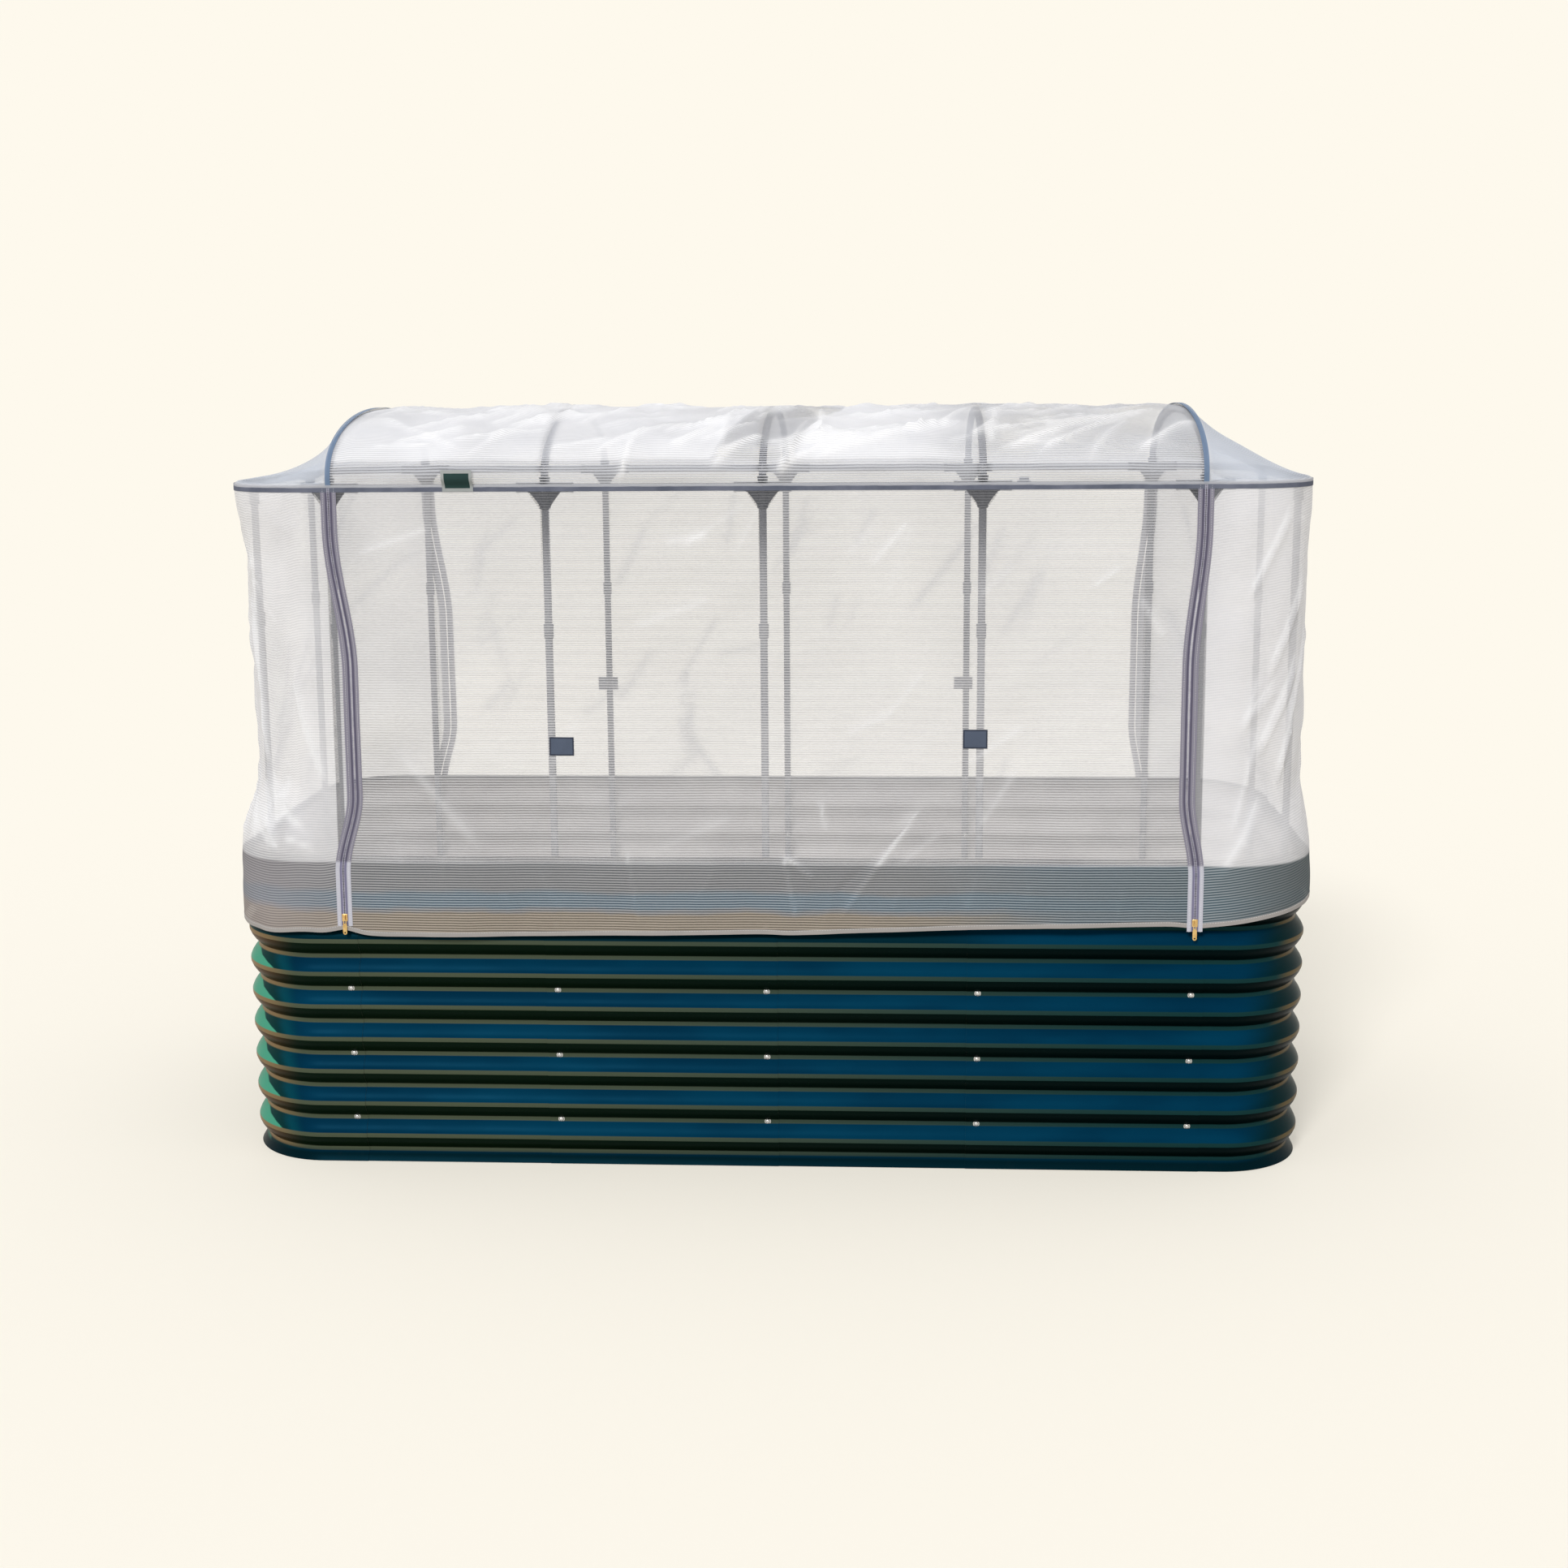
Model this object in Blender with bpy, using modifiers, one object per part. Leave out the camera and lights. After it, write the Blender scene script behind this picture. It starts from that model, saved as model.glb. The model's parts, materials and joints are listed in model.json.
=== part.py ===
"""Raised bed greenhouse: an oval bed of corrugated steel panels bolted together at lapped seams,
a tube frame that stands inside the seams and carries five hoops, and a fitted net cover whose
front and rear panels are zipped in and roll up to the rail.

Metres, +Z up. X runs along the bed, -Y is the front. The origin is on the ground at the centre.
"""

import math

import bmesh
import bpy
from mathutils import Matrix, Vector

# Plan of the bed
SEAM_SPACING = 0.457
LONG_SIDE_PANELS = 4
CORNER_STRAIGHT = 0.075
CORNER_RADIUS = 0.190

# Corrugated sheet
WALL_HEIGHT = 0.690
WAVE_PITCH = 0.074
WAVE_DEPTH = 0.020
FIRST_VALLEY = 0.024
WAVE_FLAT = 0.007
RIM_BAND = 0.010
SHEET = 0.0008
SEAM_LAP = 0.024
ARC_STEPS = 4

# Rubber edging on the rim
EDGING_WALL = 0.0015
EDGING_DEPTH = 0.008
EDGING_TOP = 0.002

# Tube frame
TUBE_RADIUS = 0.008
RAIL_HEIGHT = 1.482
HOOP_RISE = 0.148
ARCH_STEPS = 12
END_POST_SPACING = SEAM_SPACING
COUPLER_HEIGHT = 1.180
COUPLER_LENGTH = 0.030
COUPLER_WALL = 0.0022
BRACE_RADIUS = 0.004
BRACE_VALLEY = 5

# Tee connectors
SOCKET_WALL = 0.0022
SLEEVE_LENGTH = 0.120
SOCKET_RISE = 0.022
COLLAR_DROP = 0.045
GUSSET_HALF_WIDTH = 0.034
GUSSET_DROP = 0.034
GUSSET_THICKNESS = 0.010
GUSSET_STEPS = 3
SOCKET_WEB = 0.0025

# Net cover
NET = 0.001
HEM_DROP = 0.150
HEM_BAND = 0.012
HEM_THICKNESS = 0.0014
ZIP_GAP = 0.003
ROOF_SAG = 0.010
DOOR_FOLD = 0.005
DOOR_FOLD_PITCH = 0.457
END_FOLD = 0.004
END_FOLD_PITCH = 0.182
FOLD_FADE = 0.25
FOLD_LEFT_AT_RIM = 0.4
FLARE_RISE = 0.170
FLARE_FOOT = 0.010
ZIP_HOLD = 0.10
CORNER_DRAW = 0.25
WAIST_FADE = 0.16
ZIP_TAPE = 0.012
ZIP_TURN = 0.030
HIP_HOLLOW = 2.2
HIP_STEPS = 3
WRAP_STEPS = 2
ROOF_COLUMNS = 16
DOOR_COLUMNS = 16
END_FLAT_STEPS = 4

# Zip sliders and their pull tabs
SLIDER_WIDTH = 0.012
SLIDER_LENGTH = 0.016
SLIDER_PLATE = 0.0012
BRIDGE_WIDTH = 0.003
BRIDGE_LENGTH = 0.012
BRIDGE_BAR = 0.0012
TAB_WIDTH = 0.009
TAB_NECK = 0.0068
TAB_SHOULDER = 0.004
TAB_LENGTH = 0.034
TAB_THICKNESS = 0.0012
TAB_SLOT = 0.009
TAB_HOLE_RADIUS = 0.0018
TAB_ARC_STEPS = 6

# Clearance between pieces that touch
PLAY = 0.0003

# Sides of a faceted tube, rod or bore, and how far a cutter runs past what it cuts
ROD_SIDES = 8
OVERRUN = 0.010

# Worked out from the sizes above
LAP_STEP = SHEET + PLAY
LONG_HALF = SEAM_SPACING * LONG_SIDE_PANELS / 2
CORNER_X = LONG_HALF + CORNER_STRAIGHT
CORNER_Y = END_POST_SPACING / 2 + CORNER_STRAIGHT
ARC = CORNER_RADIUS * math.pi / 2
QUARTER = CORNER_X + ARC + CORNER_Y
VALLEY_INSIDE = CORNER_RADIUS - WAVE_DEPTH - LAP_STEP - SHEET
EDGING_INSIDE = VALLEY_INSIDE - PLAY - EDGING_WALL
RING_RADIUS = EDGING_INSIDE - PLAY - TUBE_RADIUS
SOCKET_BORE = TUBE_RADIUS + PLAY
SOCKET_RADIUS = SOCKET_BORE + SOCKET_WALL
NET_WRAP = (SOCKET_RADIUS + PLAY) / math.cos(math.pi / 8)
NET_TOP_RADIUS = RING_RADIUS + NET_WRAP
TOP_CREST = WALL_HEIGHT - WAVE_PITCH / 2
ZIP_CREST_RADIUS = CORNER_RADIUS + SLIDER_PLATE + 3 * PLAY
ZIP_LEAN = (ZIP_CREST_RADIUS - NET_TOP_RADIUS) / (RAIL_HEIGHT - TOP_CREST)
ARCH_FOOT = RAIL_HEIGHT + SOCKET_RISE
ARCH_RISE = HOOP_RISE - SOCKET_RISE
ARCH_HALF = CORNER_Y + RING_RADIUS
HEM_HEIGHT = WALL_HEIGHT - HEM_DROP
NET_HEM = HEM_HEIGHT + HEM_BAND + PLAY
TAB_CORNER = TAB_THICKNESS / math.sqrt(2)
BRIDGE_ROOM = 2 * (TAB_CORNER + 2 * PLAY)
FLARE_TOP = WALL_HEIGHT + FLARE_RISE
FLARE_BOTTOM = WALL_HEIGHT + FLARE_FOOT
SEAM_X = [SEAM_SPACING * (k - LONG_SIDE_PANELS / 2) for k in range(LONG_SIDE_PANELS + 1)]
ZIP_SPOTS = [("front", "left"), ("front", "right"), ("rear", "left"), ("rear", "right")]


def around(station, radius):
    """A point of the rounded plan, `radius` out from the corner centres. The station is measured
    along the bed's outer face from the middle of the front, anticlockwise from above."""
    station %= 4 * QUARTER
    if station >= 2 * QUARTER:
        x, y = around(station - 2 * QUARTER, radius)
        return -x, -y
    if station > QUARTER:
        x, y = around(2 * QUARTER - station, radius)
        return x, -y
    if station <= CORNER_X:
        return station, -(CORNER_Y + radius)
    if station < CORNER_X + ARC:
        turn = (station - CORNER_X) / CORNER_RADIUS
        return CORNER_X + radius * math.sin(turn), -(CORNER_Y + radius * math.cos(turn))
    return CORNER_X + radius, -CORNER_Y + station - CORNER_X - ARC


def stations_between(start, end):
    """The start, the end, and the points between them that bend round the corners."""
    arcs = [CORNER_X, 2 * QUARTER - CORNER_X - ARC]
    arcs += [2 * QUARTER + arc for arc in arcs]
    arcs = [arc + lap * 4 * QUARTER for lap in (-1, 0, 1) for arc in arcs]
    bends = sorted(arc + ARC * k / ARC_STEPS for arc in arcs for k in range(ARC_STEPS + 1))
    return [start] + [bend for bend in bends if start + 1e-4 < bend < end - 1e-4] + [end]


def smooth(value):
    value = min(max(value, 0.0), 1.0)
    return value * value * (3 - 2 * value)


def arc_turns(steps):
    """Evenly spaced angles over half a turn."""
    return [math.pi * k / steps for k in range(steps + 1)]


def material(name, colour, roughness, metallic=0.0):
    made = bpy.data.materials.new(name)
    made.use_nodes = True
    shader = made.node_tree.nodes["Principled BSDF"]
    shader.inputs["Base Color"].default_value = (*colour, 1.0)
    shader.inputs["Roughness"].default_value = roughness
    shader.inputs["Metallic"].default_value = metallic
    return made


def place_object(name, data, finish):
    """Puts a mesh or curve in the greenhouse's collection under its own name."""
    made = bpy.data.objects.new(name, data)
    if not data.materials:
        data.materials.append(finish)
    greenhouse.objects.link(made)
    return made


def mapped_grid(name, columns, rows, place, inside=(0.0, 0.0, 0.9)):
    """A grid whose point (i, j) is moved to place(i, j), with its faces turned away from `inside`."""
    mesh = bpy.data.meshes.new(name)
    cells = bmesh.new()
    bmesh.ops.create_grid(cells, x_segments=columns, y_segments=rows, size=0.5)
    for point in cells.verts:
        i = round((point.co.x + 0.5) * columns)
        j = round((point.co.y + 0.5) * rows)
        point.co = place(i, j)
    bmesh.ops.remove_doubles(cells, verts=cells.verts, dist=1e-5)
    cells.normal_update()
    away = sum(
        face.calc_area() * face.normal.dot(face.calc_center_median() - Vector(inside))
        for face in cells.faces
    )
    if away < 0:
        bmesh.ops.reverse_faces(cells, faces=cells.faces)
    cells.to_mesh(mesh)
    cells.free()
    mesh.shade_smooth()
    mesh.set_sharp_from_angle(angle=math.radians(40))
    return mesh


def thicken(piece, thickness, outward):
    """A wall on an open surface, added outside it or inside it."""
    wall = piece.modifiers.new("Wall", "SOLIDIFY")
    wall.thickness = thickness
    wall.offset = 1.0 if outward else -1.0


def tube(name, points, radius, finish):
    """A round tube or rod along the points."""
    path = bpy.data.curves.new(name, "CURVE")
    path.dimensions = "3D"
    path.bevel_depth = radius
    path.bevel_resolution = (ROD_SIDES - 4) // 2
    path.use_fill_caps = True
    line = path.splines.new("POLY")
    line.points.add(len(points) - 1)
    for spot, point in zip(line.points, points):
        spot.co = (*point, 1.0)
    return place_object(name, path, finish)


def as_mesh(piece):
    """The piece as its modifiers and bevels leave it, in a plain mesh with its place in the points."""
    bpy.context.view_layer.update()
    graph = bpy.context.evaluated_depsgraph_get()
    mesh = bpy.data.meshes.new_from_object(piece.evaluated_get(graph))
    mesh.transform(piece.matrix_world)
    cells = bmesh.new()
    cells.from_mesh(mesh)
    bmesh.ops.remove_doubles(cells, verts=cells.verts, dist=1e-6)
    cells.to_mesh(mesh)
    cells.free()
    return mesh


def helper(name, mesh):
    """A solid that only shapes another one."""
    made = bpy.data.objects.new(name, mesh)
    made.hide_render = True
    made.display_type = "WIRE"
    helpers.objects.link(made)
    return made


def rod_mesh(start, end, radius):
    """A plain cylinder between two points."""
    start, end = Vector(start), Vector(end)
    mesh = bpy.data.meshes.new("rod")
    cells = bmesh.new()
    bmesh.ops.create_cone(
        cells,
        cap_ends=True,
        segments=ROD_SIDES,
        radius1=radius,
        radius2=radius,
        depth=(end - start).length,
    )
    turn = Vector((0, 0, 1)).rotation_difference(end - start).to_matrix().to_4x4()
    bmesh.ops.transform(
        cells, matrix=Matrix.Translation((start + end) / 2) @ turn, verts=cells.verts
    )
    cells.to_mesh(mesh)
    cells.free()
    return mesh


def bore_mesh(start, end):
    """A cutter for a tube's socket, its flats as far out as the tube needs."""
    return rod_mesh(start, end, SOCKET_BORE / math.cos(math.pi / ROD_SIDES))


def box_mesh(low, high):
    """A box between two corners."""
    low, high = Vector(low), Vector(high)
    mesh = bpy.data.meshes.new("box")
    cells = bmesh.new()
    bmesh.ops.create_cube(cells, size=1.0)
    size = high - low
    middle = Matrix.Translation((low + high) / 2)
    bmesh.ops.transform(cells, matrix=middle @ Matrix.Diagonal((*size, 1.0)), verts=cells.verts)
    cells.to_mesh(mesh)
    cells.free()
    return mesh


def shaped(name, base, added=(), removed=()):
    """A mesh made of `base`, joined with the added solids and cut by the removed ones."""
    body = helper(name, base)
    used = [body]
    for operation, meshes in (("UNION", added), ("DIFFERENCE", removed)):
        for mesh in meshes:
            other = helper(name + "_tool", mesh)
            used.append(other)
            step = body.modifiers.new(operation.title(), "BOOLEAN")
            step.operation = operation
            step.solver = "EXACT"
            step.object = other
    mesh = as_mesh(body)
    for piece in used:
        bpy.data.objects.remove(piece)
    mesh.name = name
    mesh.shade_smooth()
    mesh.set_sharp_from_angle(angle=math.radians(35))
    return mesh


# Corrugated wall panels


def wave_profile():
    """Heights and depths of the sheet from the ground to the rim, flat at each crest and valley."""
    def depth_at(height):
        phase = (height - FIRST_VALLEY) % WAVE_PITCH
        from_valley = min(phase, WAVE_PITCH - phase)
        slope = WAVE_PITCH / 2 - WAVE_FLAT
        return WAVE_DEPTH * (1 - min(max(from_valley - WAVE_FLAT / 2, 0) / slope, 1))

    band_start = WALL_HEIGHT - RIM_BAND
    heights = [0.0]
    wave = -1
    while FIRST_VALLEY + wave * WAVE_PITCH / 2 < band_start:
        for side in (-0.5, 0.5):
            height = FIRST_VALLEY + wave * WAVE_PITCH / 2 + side * WAVE_FLAT
            if 0 < height < band_start:
                heights.append(height)
        wave += 1
    last_crest = max(h for h in heights if depth_at(h) < 1e-9)
    heights = [h for h in heights if h <= last_crest]
    return [(h, depth_at(h)) for h in heights] + [(band_start, WAVE_DEPTH), (WALL_HEIGHT, WAVE_DEPTH)]


def wall_panel(name, start, end, outer, finish):
    """One pressed panel from seam to seam, with a lap past each seam's screws."""
    profile = wave_profile()
    stations = stations_between(start - SEAM_LAP, end + SEAM_LAP)
    face = CORNER_RADIUS if outer else CORNER_RADIUS - LAP_STEP

    def place(i, j):
        height, depth = profile[j]
        return Vector((*around(stations[i], face - depth), height))

    mesh = mapped_grid(name, len(stations) - 1, len(profile) - 1, place, (0, 0, WALL_HEIGHT / 2))
    panel = place_object(name, mesh, finish)
    thicken(panel, SHEET, outward=False)
    return panel


def bed_wall(finish):
    """The ring of panels, each second one outside its neighbours at the seams."""
    end_seam = QUARTER - END_POST_SPACING / 2
    seams = list(SEAM_X) + [end_seam, 2 * QUARTER - end_seam]
    seams += [2 * QUARTER - x for x in reversed(SEAM_X)]
    seams += [2 * QUARTER + end_seam, 4 * QUARTER - end_seam, 4 * QUARTER + SEAM_X[0]]
    names = [f"front_panel_{k + 1}" for k in range(LONG_SIDE_PANELS)]
    names += ["right_front_corner", "right_end_panel", "right_rear_corner"]
    names += [f"rear_panel_{LONG_SIDE_PANELS - k}" for k in range(LONG_SIDE_PANELS)]
    names += ["left_rear_corner", "left_end_panel", "left_front_corner"]
    for k, name in enumerate(names):
        wall_panel(name, seams[k], seams[k + 1], k % 2 == 1, finish)


def rim_edging(finish):
    """A rubber channel pushed over the rim all the way round."""
    slot_in = VALLEY_INSIDE - PLAY
    slot_out = CORNER_RADIUS - WAVE_DEPTH + PLAY
    foot = WALL_HEIGHT + PLAY - EDGING_DEPTH
    seat = WALL_HEIGHT + PLAY
    section = [
        (slot_out + EDGING_WALL, foot),
        (slot_out + EDGING_WALL, seat + EDGING_TOP),
        (EDGING_INSIDE, seat + EDGING_TOP),
        (EDGING_INSIDE, foot),
        (slot_in, foot),
        (slot_in, seat),
        (slot_out, seat),
        (slot_out, foot),
        (slot_out + EDGING_WALL, foot),
    ]
    stations = stations_between(0.0, 4 * QUARTER)

    def place(i, j):
        radius, height = section[j]
        return Vector((*around(stations[i], radius), height))

    mesh = mapped_grid("rim_edging", len(stations) - 1, len(section) - 1, place)
    cells = bmesh.new()
    cells.from_mesh(mesh)
    bmesh.ops.recalc_face_normals(cells, faces=cells.faces)
    cells.to_mesh(mesh)
    cells.free()
    place_object("rim_edging", mesh, finish)


def cross_braces(finish):
    """Rods between the front and rear posts that keep the long walls from bulging."""
    height = FIRST_VALLEY + BRACE_VALLEY * WAVE_PITCH
    reach = ARCH_HALF - TUBE_RADIUS - PLAY
    for side, x in (("left", -SEAM_SPACING), ("right", SEAM_SPACING)):
        tube(f"{side}_cross_brace", [(x, -reach, height), (x, reach, height)], BRACE_RADIUS, finish)


# Tube frame


def gusset_mesh():
    """The flat funnel under a rail sleeve that narrows in a hollow curve to the post's collar."""
    side = []
    for k in range(GUSSET_STEPS + 1):
        turn = math.pi / 2 * k / GUSSET_STEPS
        x = SOCKET_RADIUS + (GUSSET_HALF_WIDTH - SOCKET_RADIUS) * (1 - math.sin(turn))
        side.append((x, -GUSSET_DROP * (1 - math.cos(turn))))
    outline = side + [(-x, z) for x, z in reversed(side)]
    path = bpy.data.curves.new("gusset", "CURVE")
    path.dimensions = "2D"
    path.fill_mode = "BOTH"
    path.extrude = GUSSET_THICKNESS / 2
    line = path.splines.new("POLY")
    line.points.add(len(outline) - 1)
    line.use_cyclic_u = True
    for spot, (x, z) in zip(line.points, outline):
        spot.co = (x, z, 0.0, 1.0)
    plate = helper("gusset", path)
    mesh = as_mesh(plate)
    bpy.data.objects.remove(plate)
    mesh.transform(Matrix.Rotation(math.pi / 2, 4, "X"))
    return mesh


def tee_parts():
    """The solids of a tee about the rail's axis: sleeve, gusset and the upright with its collar."""
    sleeve = rod_mesh((-SLEEVE_LENGTH / 2, 0, 0), (SLEEVE_LENGTH / 2, 0, 0), SOCKET_RADIUS)
    upright = rod_mesh((0, 0, -COLLAR_DROP), (0, 0, SOCKET_RISE), SOCKET_RADIUS)
    return [sleeve, gusset_mesh(), upright]


def socket_cuts():
    """The blind bores that take the post from below and the hoop's foot from above."""
    floor = SOCKET_BORE + SOCKET_WEB
    lower = bore_mesh((0, 0, -COLLAR_DROP - OVERRUN), (0, 0, -floor))
    upper = bore_mesh((0, 0, floor), (0, 0, SOCKET_RISE + OVERRUN))
    return [lower, upper]


def moved(mesh, offset, turn=0.0):
    mesh = mesh.copy()
    mesh.transform(Matrix.Translation(offset) @ Matrix.Rotation(turn, 4, "Z"))
    return mesh


def front_frame(tube_finish, tee_finish):
    """The front rail with five separate tees on it."""
    y = -ARCH_HALF
    reach = LONG_HALF - PLAY / 2
    tube("front_rail", [(-reach, y, RAIL_HEIGHT), (reach, y, RAIL_HEIGHT)], TUBE_RADIUS, tube_finish)
    sleeve, gusset, upright = tee_parts()
    bore = bore_mesh((-SLEEVE_LENGTH, 0, 0), (SLEEVE_LENGTH, 0, 0))
    mesh = shaped("tee", sleeve, [gusset, upright], [bore] + socket_cuts())
    for k, x in enumerate(SEAM_X):
        tee = place_object(f"front_tee_{k + 1}", mesh, tee_finish)
        tee.location = (x, y, RAIL_HEIGHT)


def rear_frame(finish):
    """The rear rail with its five tees welded on, open at both ends for the end rails."""
    reach = LONG_HALF - PLAY / 2
    base = rod_mesh((-reach, 0, 0), (reach, 0, 0), TUBE_RADIUS)
    added = []
    removed = []
    for x in SEAM_X:
        added += [moved(part, (x, 0, 0)) for part in tee_parts()]
        removed += [moved(cut, (x, 0, 0)) for cut in socket_cuts()]
    for side in (-1, 1):
        start = (side * LONG_HALF, 0, 0)
        removed.append(bore_mesh(start, (side * (LONG_HALF + SLEEVE_LENGTH), 0, 0)))
    rail = place_object("rear_rail", shaped("rear_rail", base, added, removed), finish)
    rail.location = (0, ARCH_HALF, RAIL_HEIGHT)


def end_rails(finish):
    """The rounded ends of the top ring, from corner tee to corner tee."""
    for side, turn in (("right", 0.0), ("left", 2 * QUARTER)):
        start = turn + LONG_HALF + PLAY / 2
        end = turn + 2 * QUARTER - LONG_HALF - PLAY / 2
        points = [(*around(s, RING_RADIUS), RAIL_HEIGHT) for s in stations_between(start, end)]
        tube(f"{side}_end_rail", points, TUBE_RADIUS, finish)


def post_mesh(top):
    """A post of two lengths of tube joined by a coupler, turned from its half profile."""
    coupler = TUBE_RADIUS + COUPLER_WALL
    low = COUPLER_HEIGHT - COUPLER_LENGTH / 2
    high = COUPLER_HEIGHT + COUPLER_LENGTH / 2
    profile = [(0.0, top), (TUBE_RADIUS, top), (TUBE_RADIUS, high), (coupler, high)]
    profile += [(coupler, low), (TUBE_RADIUS, low), (TUBE_RADIUS, 0.0), (0.0, 0.0)]
    mesh = bpy.data.meshes.new("post")
    edges = [(k, k + 1) for k in range(len(profile) - 1)]
    mesh.from_pydata([(x, 0, z) for x, z in profile], edges, [])
    turned = helper("post", mesh)
    screw = turned.modifiers.new("Turn", "SCREW")
    screw.steps = ROD_SIDES
    screw.render_steps = ROD_SIDES
    screw.use_merge_vertices = True
    screw.merge_threshold = 1e-5
    made = as_mesh(turned)
    bpy.data.objects.remove(turned)
    made.name = "post"
    made.shade_smooth()
    made.set_sharp_from_angle(angle=math.radians(50))
    return made


def posts(tube_finish, tee_finish):
    """Five posts along the front, five along the rear and two at each rounded end."""
    socket_floor = RAIL_HEIGHT - SOCKET_BORE - SOCKET_WEB
    straight = post_mesh(socket_floor - PLAY)
    for row, side in (("front", -1), ("rear", 1)):
        for k, x in enumerate(SEAM_X):
            post = place_object(f"{row}_post_{k + 1}", straight, tube_finish)
            post.location = (x, side * ARCH_HALF, 0)
    sleeve, gusset = tee_parts()[:2]
    collar = rod_mesh((0, 0, -COLLAR_DROP), (0, 0, 0), SOCKET_RADIUS)
    tee = [moved(part, (0, 0, RAIL_HEIGHT), math.pi / 2) for part in (sleeve, gusset, collar)]
    bore = bore_mesh((0, -SLEEVE_LENGTH, RAIL_HEIGHT), (0, SLEEVE_LENGTH, RAIL_HEIGHT))
    added = tee[1:] + [post_mesh(RAIL_HEIGHT - COLLAR_DROP / 2)]
    end_post = shaped("end_post", tee[0], added, [bore])
    for side, sign in (("left", -1), ("right", 1)):
        for row, way in (("front", -1), ("rear", 1)):
            post = place_object(f"{side}_end_post_{row}", end_post, tee_finish)
            post.location = (sign * (CORNER_X + RING_RADIUS), way * END_POST_SPACING / 2, 0)


def arch_point(turn, offset=0.0):
    """A point across the arch at an angle from its front foot (0) to its rear foot (pi)."""
    across, up = math.cos(turn), math.sin(turn)
    y, z = -ARCH_HALF * across, ARCH_FOOT + ARCH_RISE * up
    normal = Vector((-ARCH_RISE * across, ARCH_HALF * up)).normalized()
    return y + normal.x * offset, z + normal.y * offset


def hoops(finish):
    """Five arched tubes, each with its feet in a front and a rear tee."""
    foot = RAIL_HEIGHT + SOCKET_BORE + SOCKET_WEB + PLAY
    for k, x in enumerate(SEAM_X):
        points = [(x, -ARCH_HALF, foot)]
        points += [(x, *arch_point(turn)) for turn in arc_turns(ARCH_STEPS)]
        points += [(x, ARCH_HALF, foot)]
        tube(f"hoop_{k + 1}", points, TUBE_RADIUS, finish)


# Net cover


def zip_radius(height):
    """Where the net's inner face hangs at a zip: on one straight line from rail to hem."""
    return NET_TOP_RADIUS + ZIP_LEAN * (RAIL_HEIGHT - height)


def loose(from_zip):
    """How free the net is from a zip: held flat over the tape, and free a hand's width from it."""
    return smooth((from_zip - ZIP_TAPE) / ZIP_HOLD)


def swell(height, from_zip, along, fold, pitch):
    """How far its soft folds stand out: they repeat each `pitch` along it and fade towards the rail
    and the zips."""
    fall = smooth((RAIL_HEIGHT - height) / FOLD_FADE) * loose(from_zip)
    return fold * fall * (0.5 - 0.5 * math.cos(2 * math.pi * along / pitch))


def door_radius(height, from_zip, along):
    """Where a door hangs: straight from the rail to its hem band, so that it rolls up clear of the
    posts, with folds that fade towards the band too."""
    held = smooth((height - NET_HEM) / FOLD_FADE)
    return zip_radius(height) + held * swell(height, from_zip, along, DOOR_FOLD, DOOR_FOLD_PITCH)


def corner_room(along):
    """How far a straight line from the corner post to the end post passes inside the rounded
    corner of the cover, at a distance along it from the middle of the end."""
    x, y = around(QUARTER - abs(along), NET_TOP_RADIUS)
    base_x, base_y = around(QUARTER - abs(along), 0.0)
    line = (LONG_HALF + ARCH_HALF) * math.sqrt(0.5) + NET_WRAP
    beyond = (x - y) * math.sqrt(0.5) - line
    lean = ((x - base_x) - (y - base_y)) * math.sqrt(0.5) / NET_TOP_RADIUS
    return max(beyond / lean, 0.0)


def end_radius(height, from_zip, along):
    """Where a rounded end hangs: close to its posts and drawn in between them round the corners,
    flaring out over the rim."""
    straight = zip_radius(height)
    flare = smooth((FLARE_TOP - height) / (FLARE_TOP - FLARE_BOTTOM))
    waist = CORNER_DRAW * corner_room(along) * smooth((RAIL_HEIGHT - height) / WAIST_FADE)
    pulled_in = (straight - NET_TOP_RADIUS + waist) * (1 - flare) * loose(from_zip)
    left = 1 - flare * (1 - FOLD_LEFT_AT_RIM)
    return straight - pulled_in + left * swell(height, from_zip, along, END_FOLD, END_FOLD_PITCH)


def wall_heights(hem, rail):
    """The rows of points of a hung net, closest where it flares over the rim."""
    middle = (FLARE_TOP + FLARE_BOTTOM) / 2
    upper = [FLARE_TOP + (rail - FLARE_TOP) * share for share in (0.3, 0.7)]
    return [hem, (hem + FLARE_BOTTOM) / 2, FLARE_BOTTOM, middle, FLARE_TOP, *upper, rail]


def door_net(row, finish):
    """The front or rear panel of the cover, between its two zips, from the hem band to the rail."""
    turn = 0.0 if row == "front" else 2 * QUARTER
    half = LONG_HALF - ZIP_GAP / 2
    heights = wall_heights(NET_HEM, RAIL_HEIGHT - PLAY)

    def place(i, j):
        along = -half + 2 * half * i / DOOR_COLUMNS
        height = heights[j]
        radius = door_radius(height, half - abs(along), along)
        return Vector((*around(turn + along, radius), height))

    mesh = mapped_grid(f"{row}_door_net", DOOR_COLUMNS, len(heights) - 1, place)
    net = place_object(f"{row}_door_net", mesh, finish)
    thicken(net, NET, outward=True)


def hem_band(row, finish):
    """The doubled and stitched bottom edge of a door net."""
    sign = -1 if row == "front" else 1
    half = LONG_HALF - ZIP_GAP / 2
    low, high = HEM_HEIGHT, HEM_HEIGHT + HEM_BAND

    def corner(x, height, extra):
        return (x, sign * (CORNER_Y + zip_radius(height) + extra), height)

    mesh = box_mesh((-half, -1, -1), (half, 1, 1))
    for point in mesh.vertices:
        height = high if point.co.z > 0 else low
        outside = (point.co.y * sign) > 0
        point.co = corner(point.co.x, height, HEM_THICKNESS if outside else 0.0)
    place_object(f"{row}_hem", mesh, finish)


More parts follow.
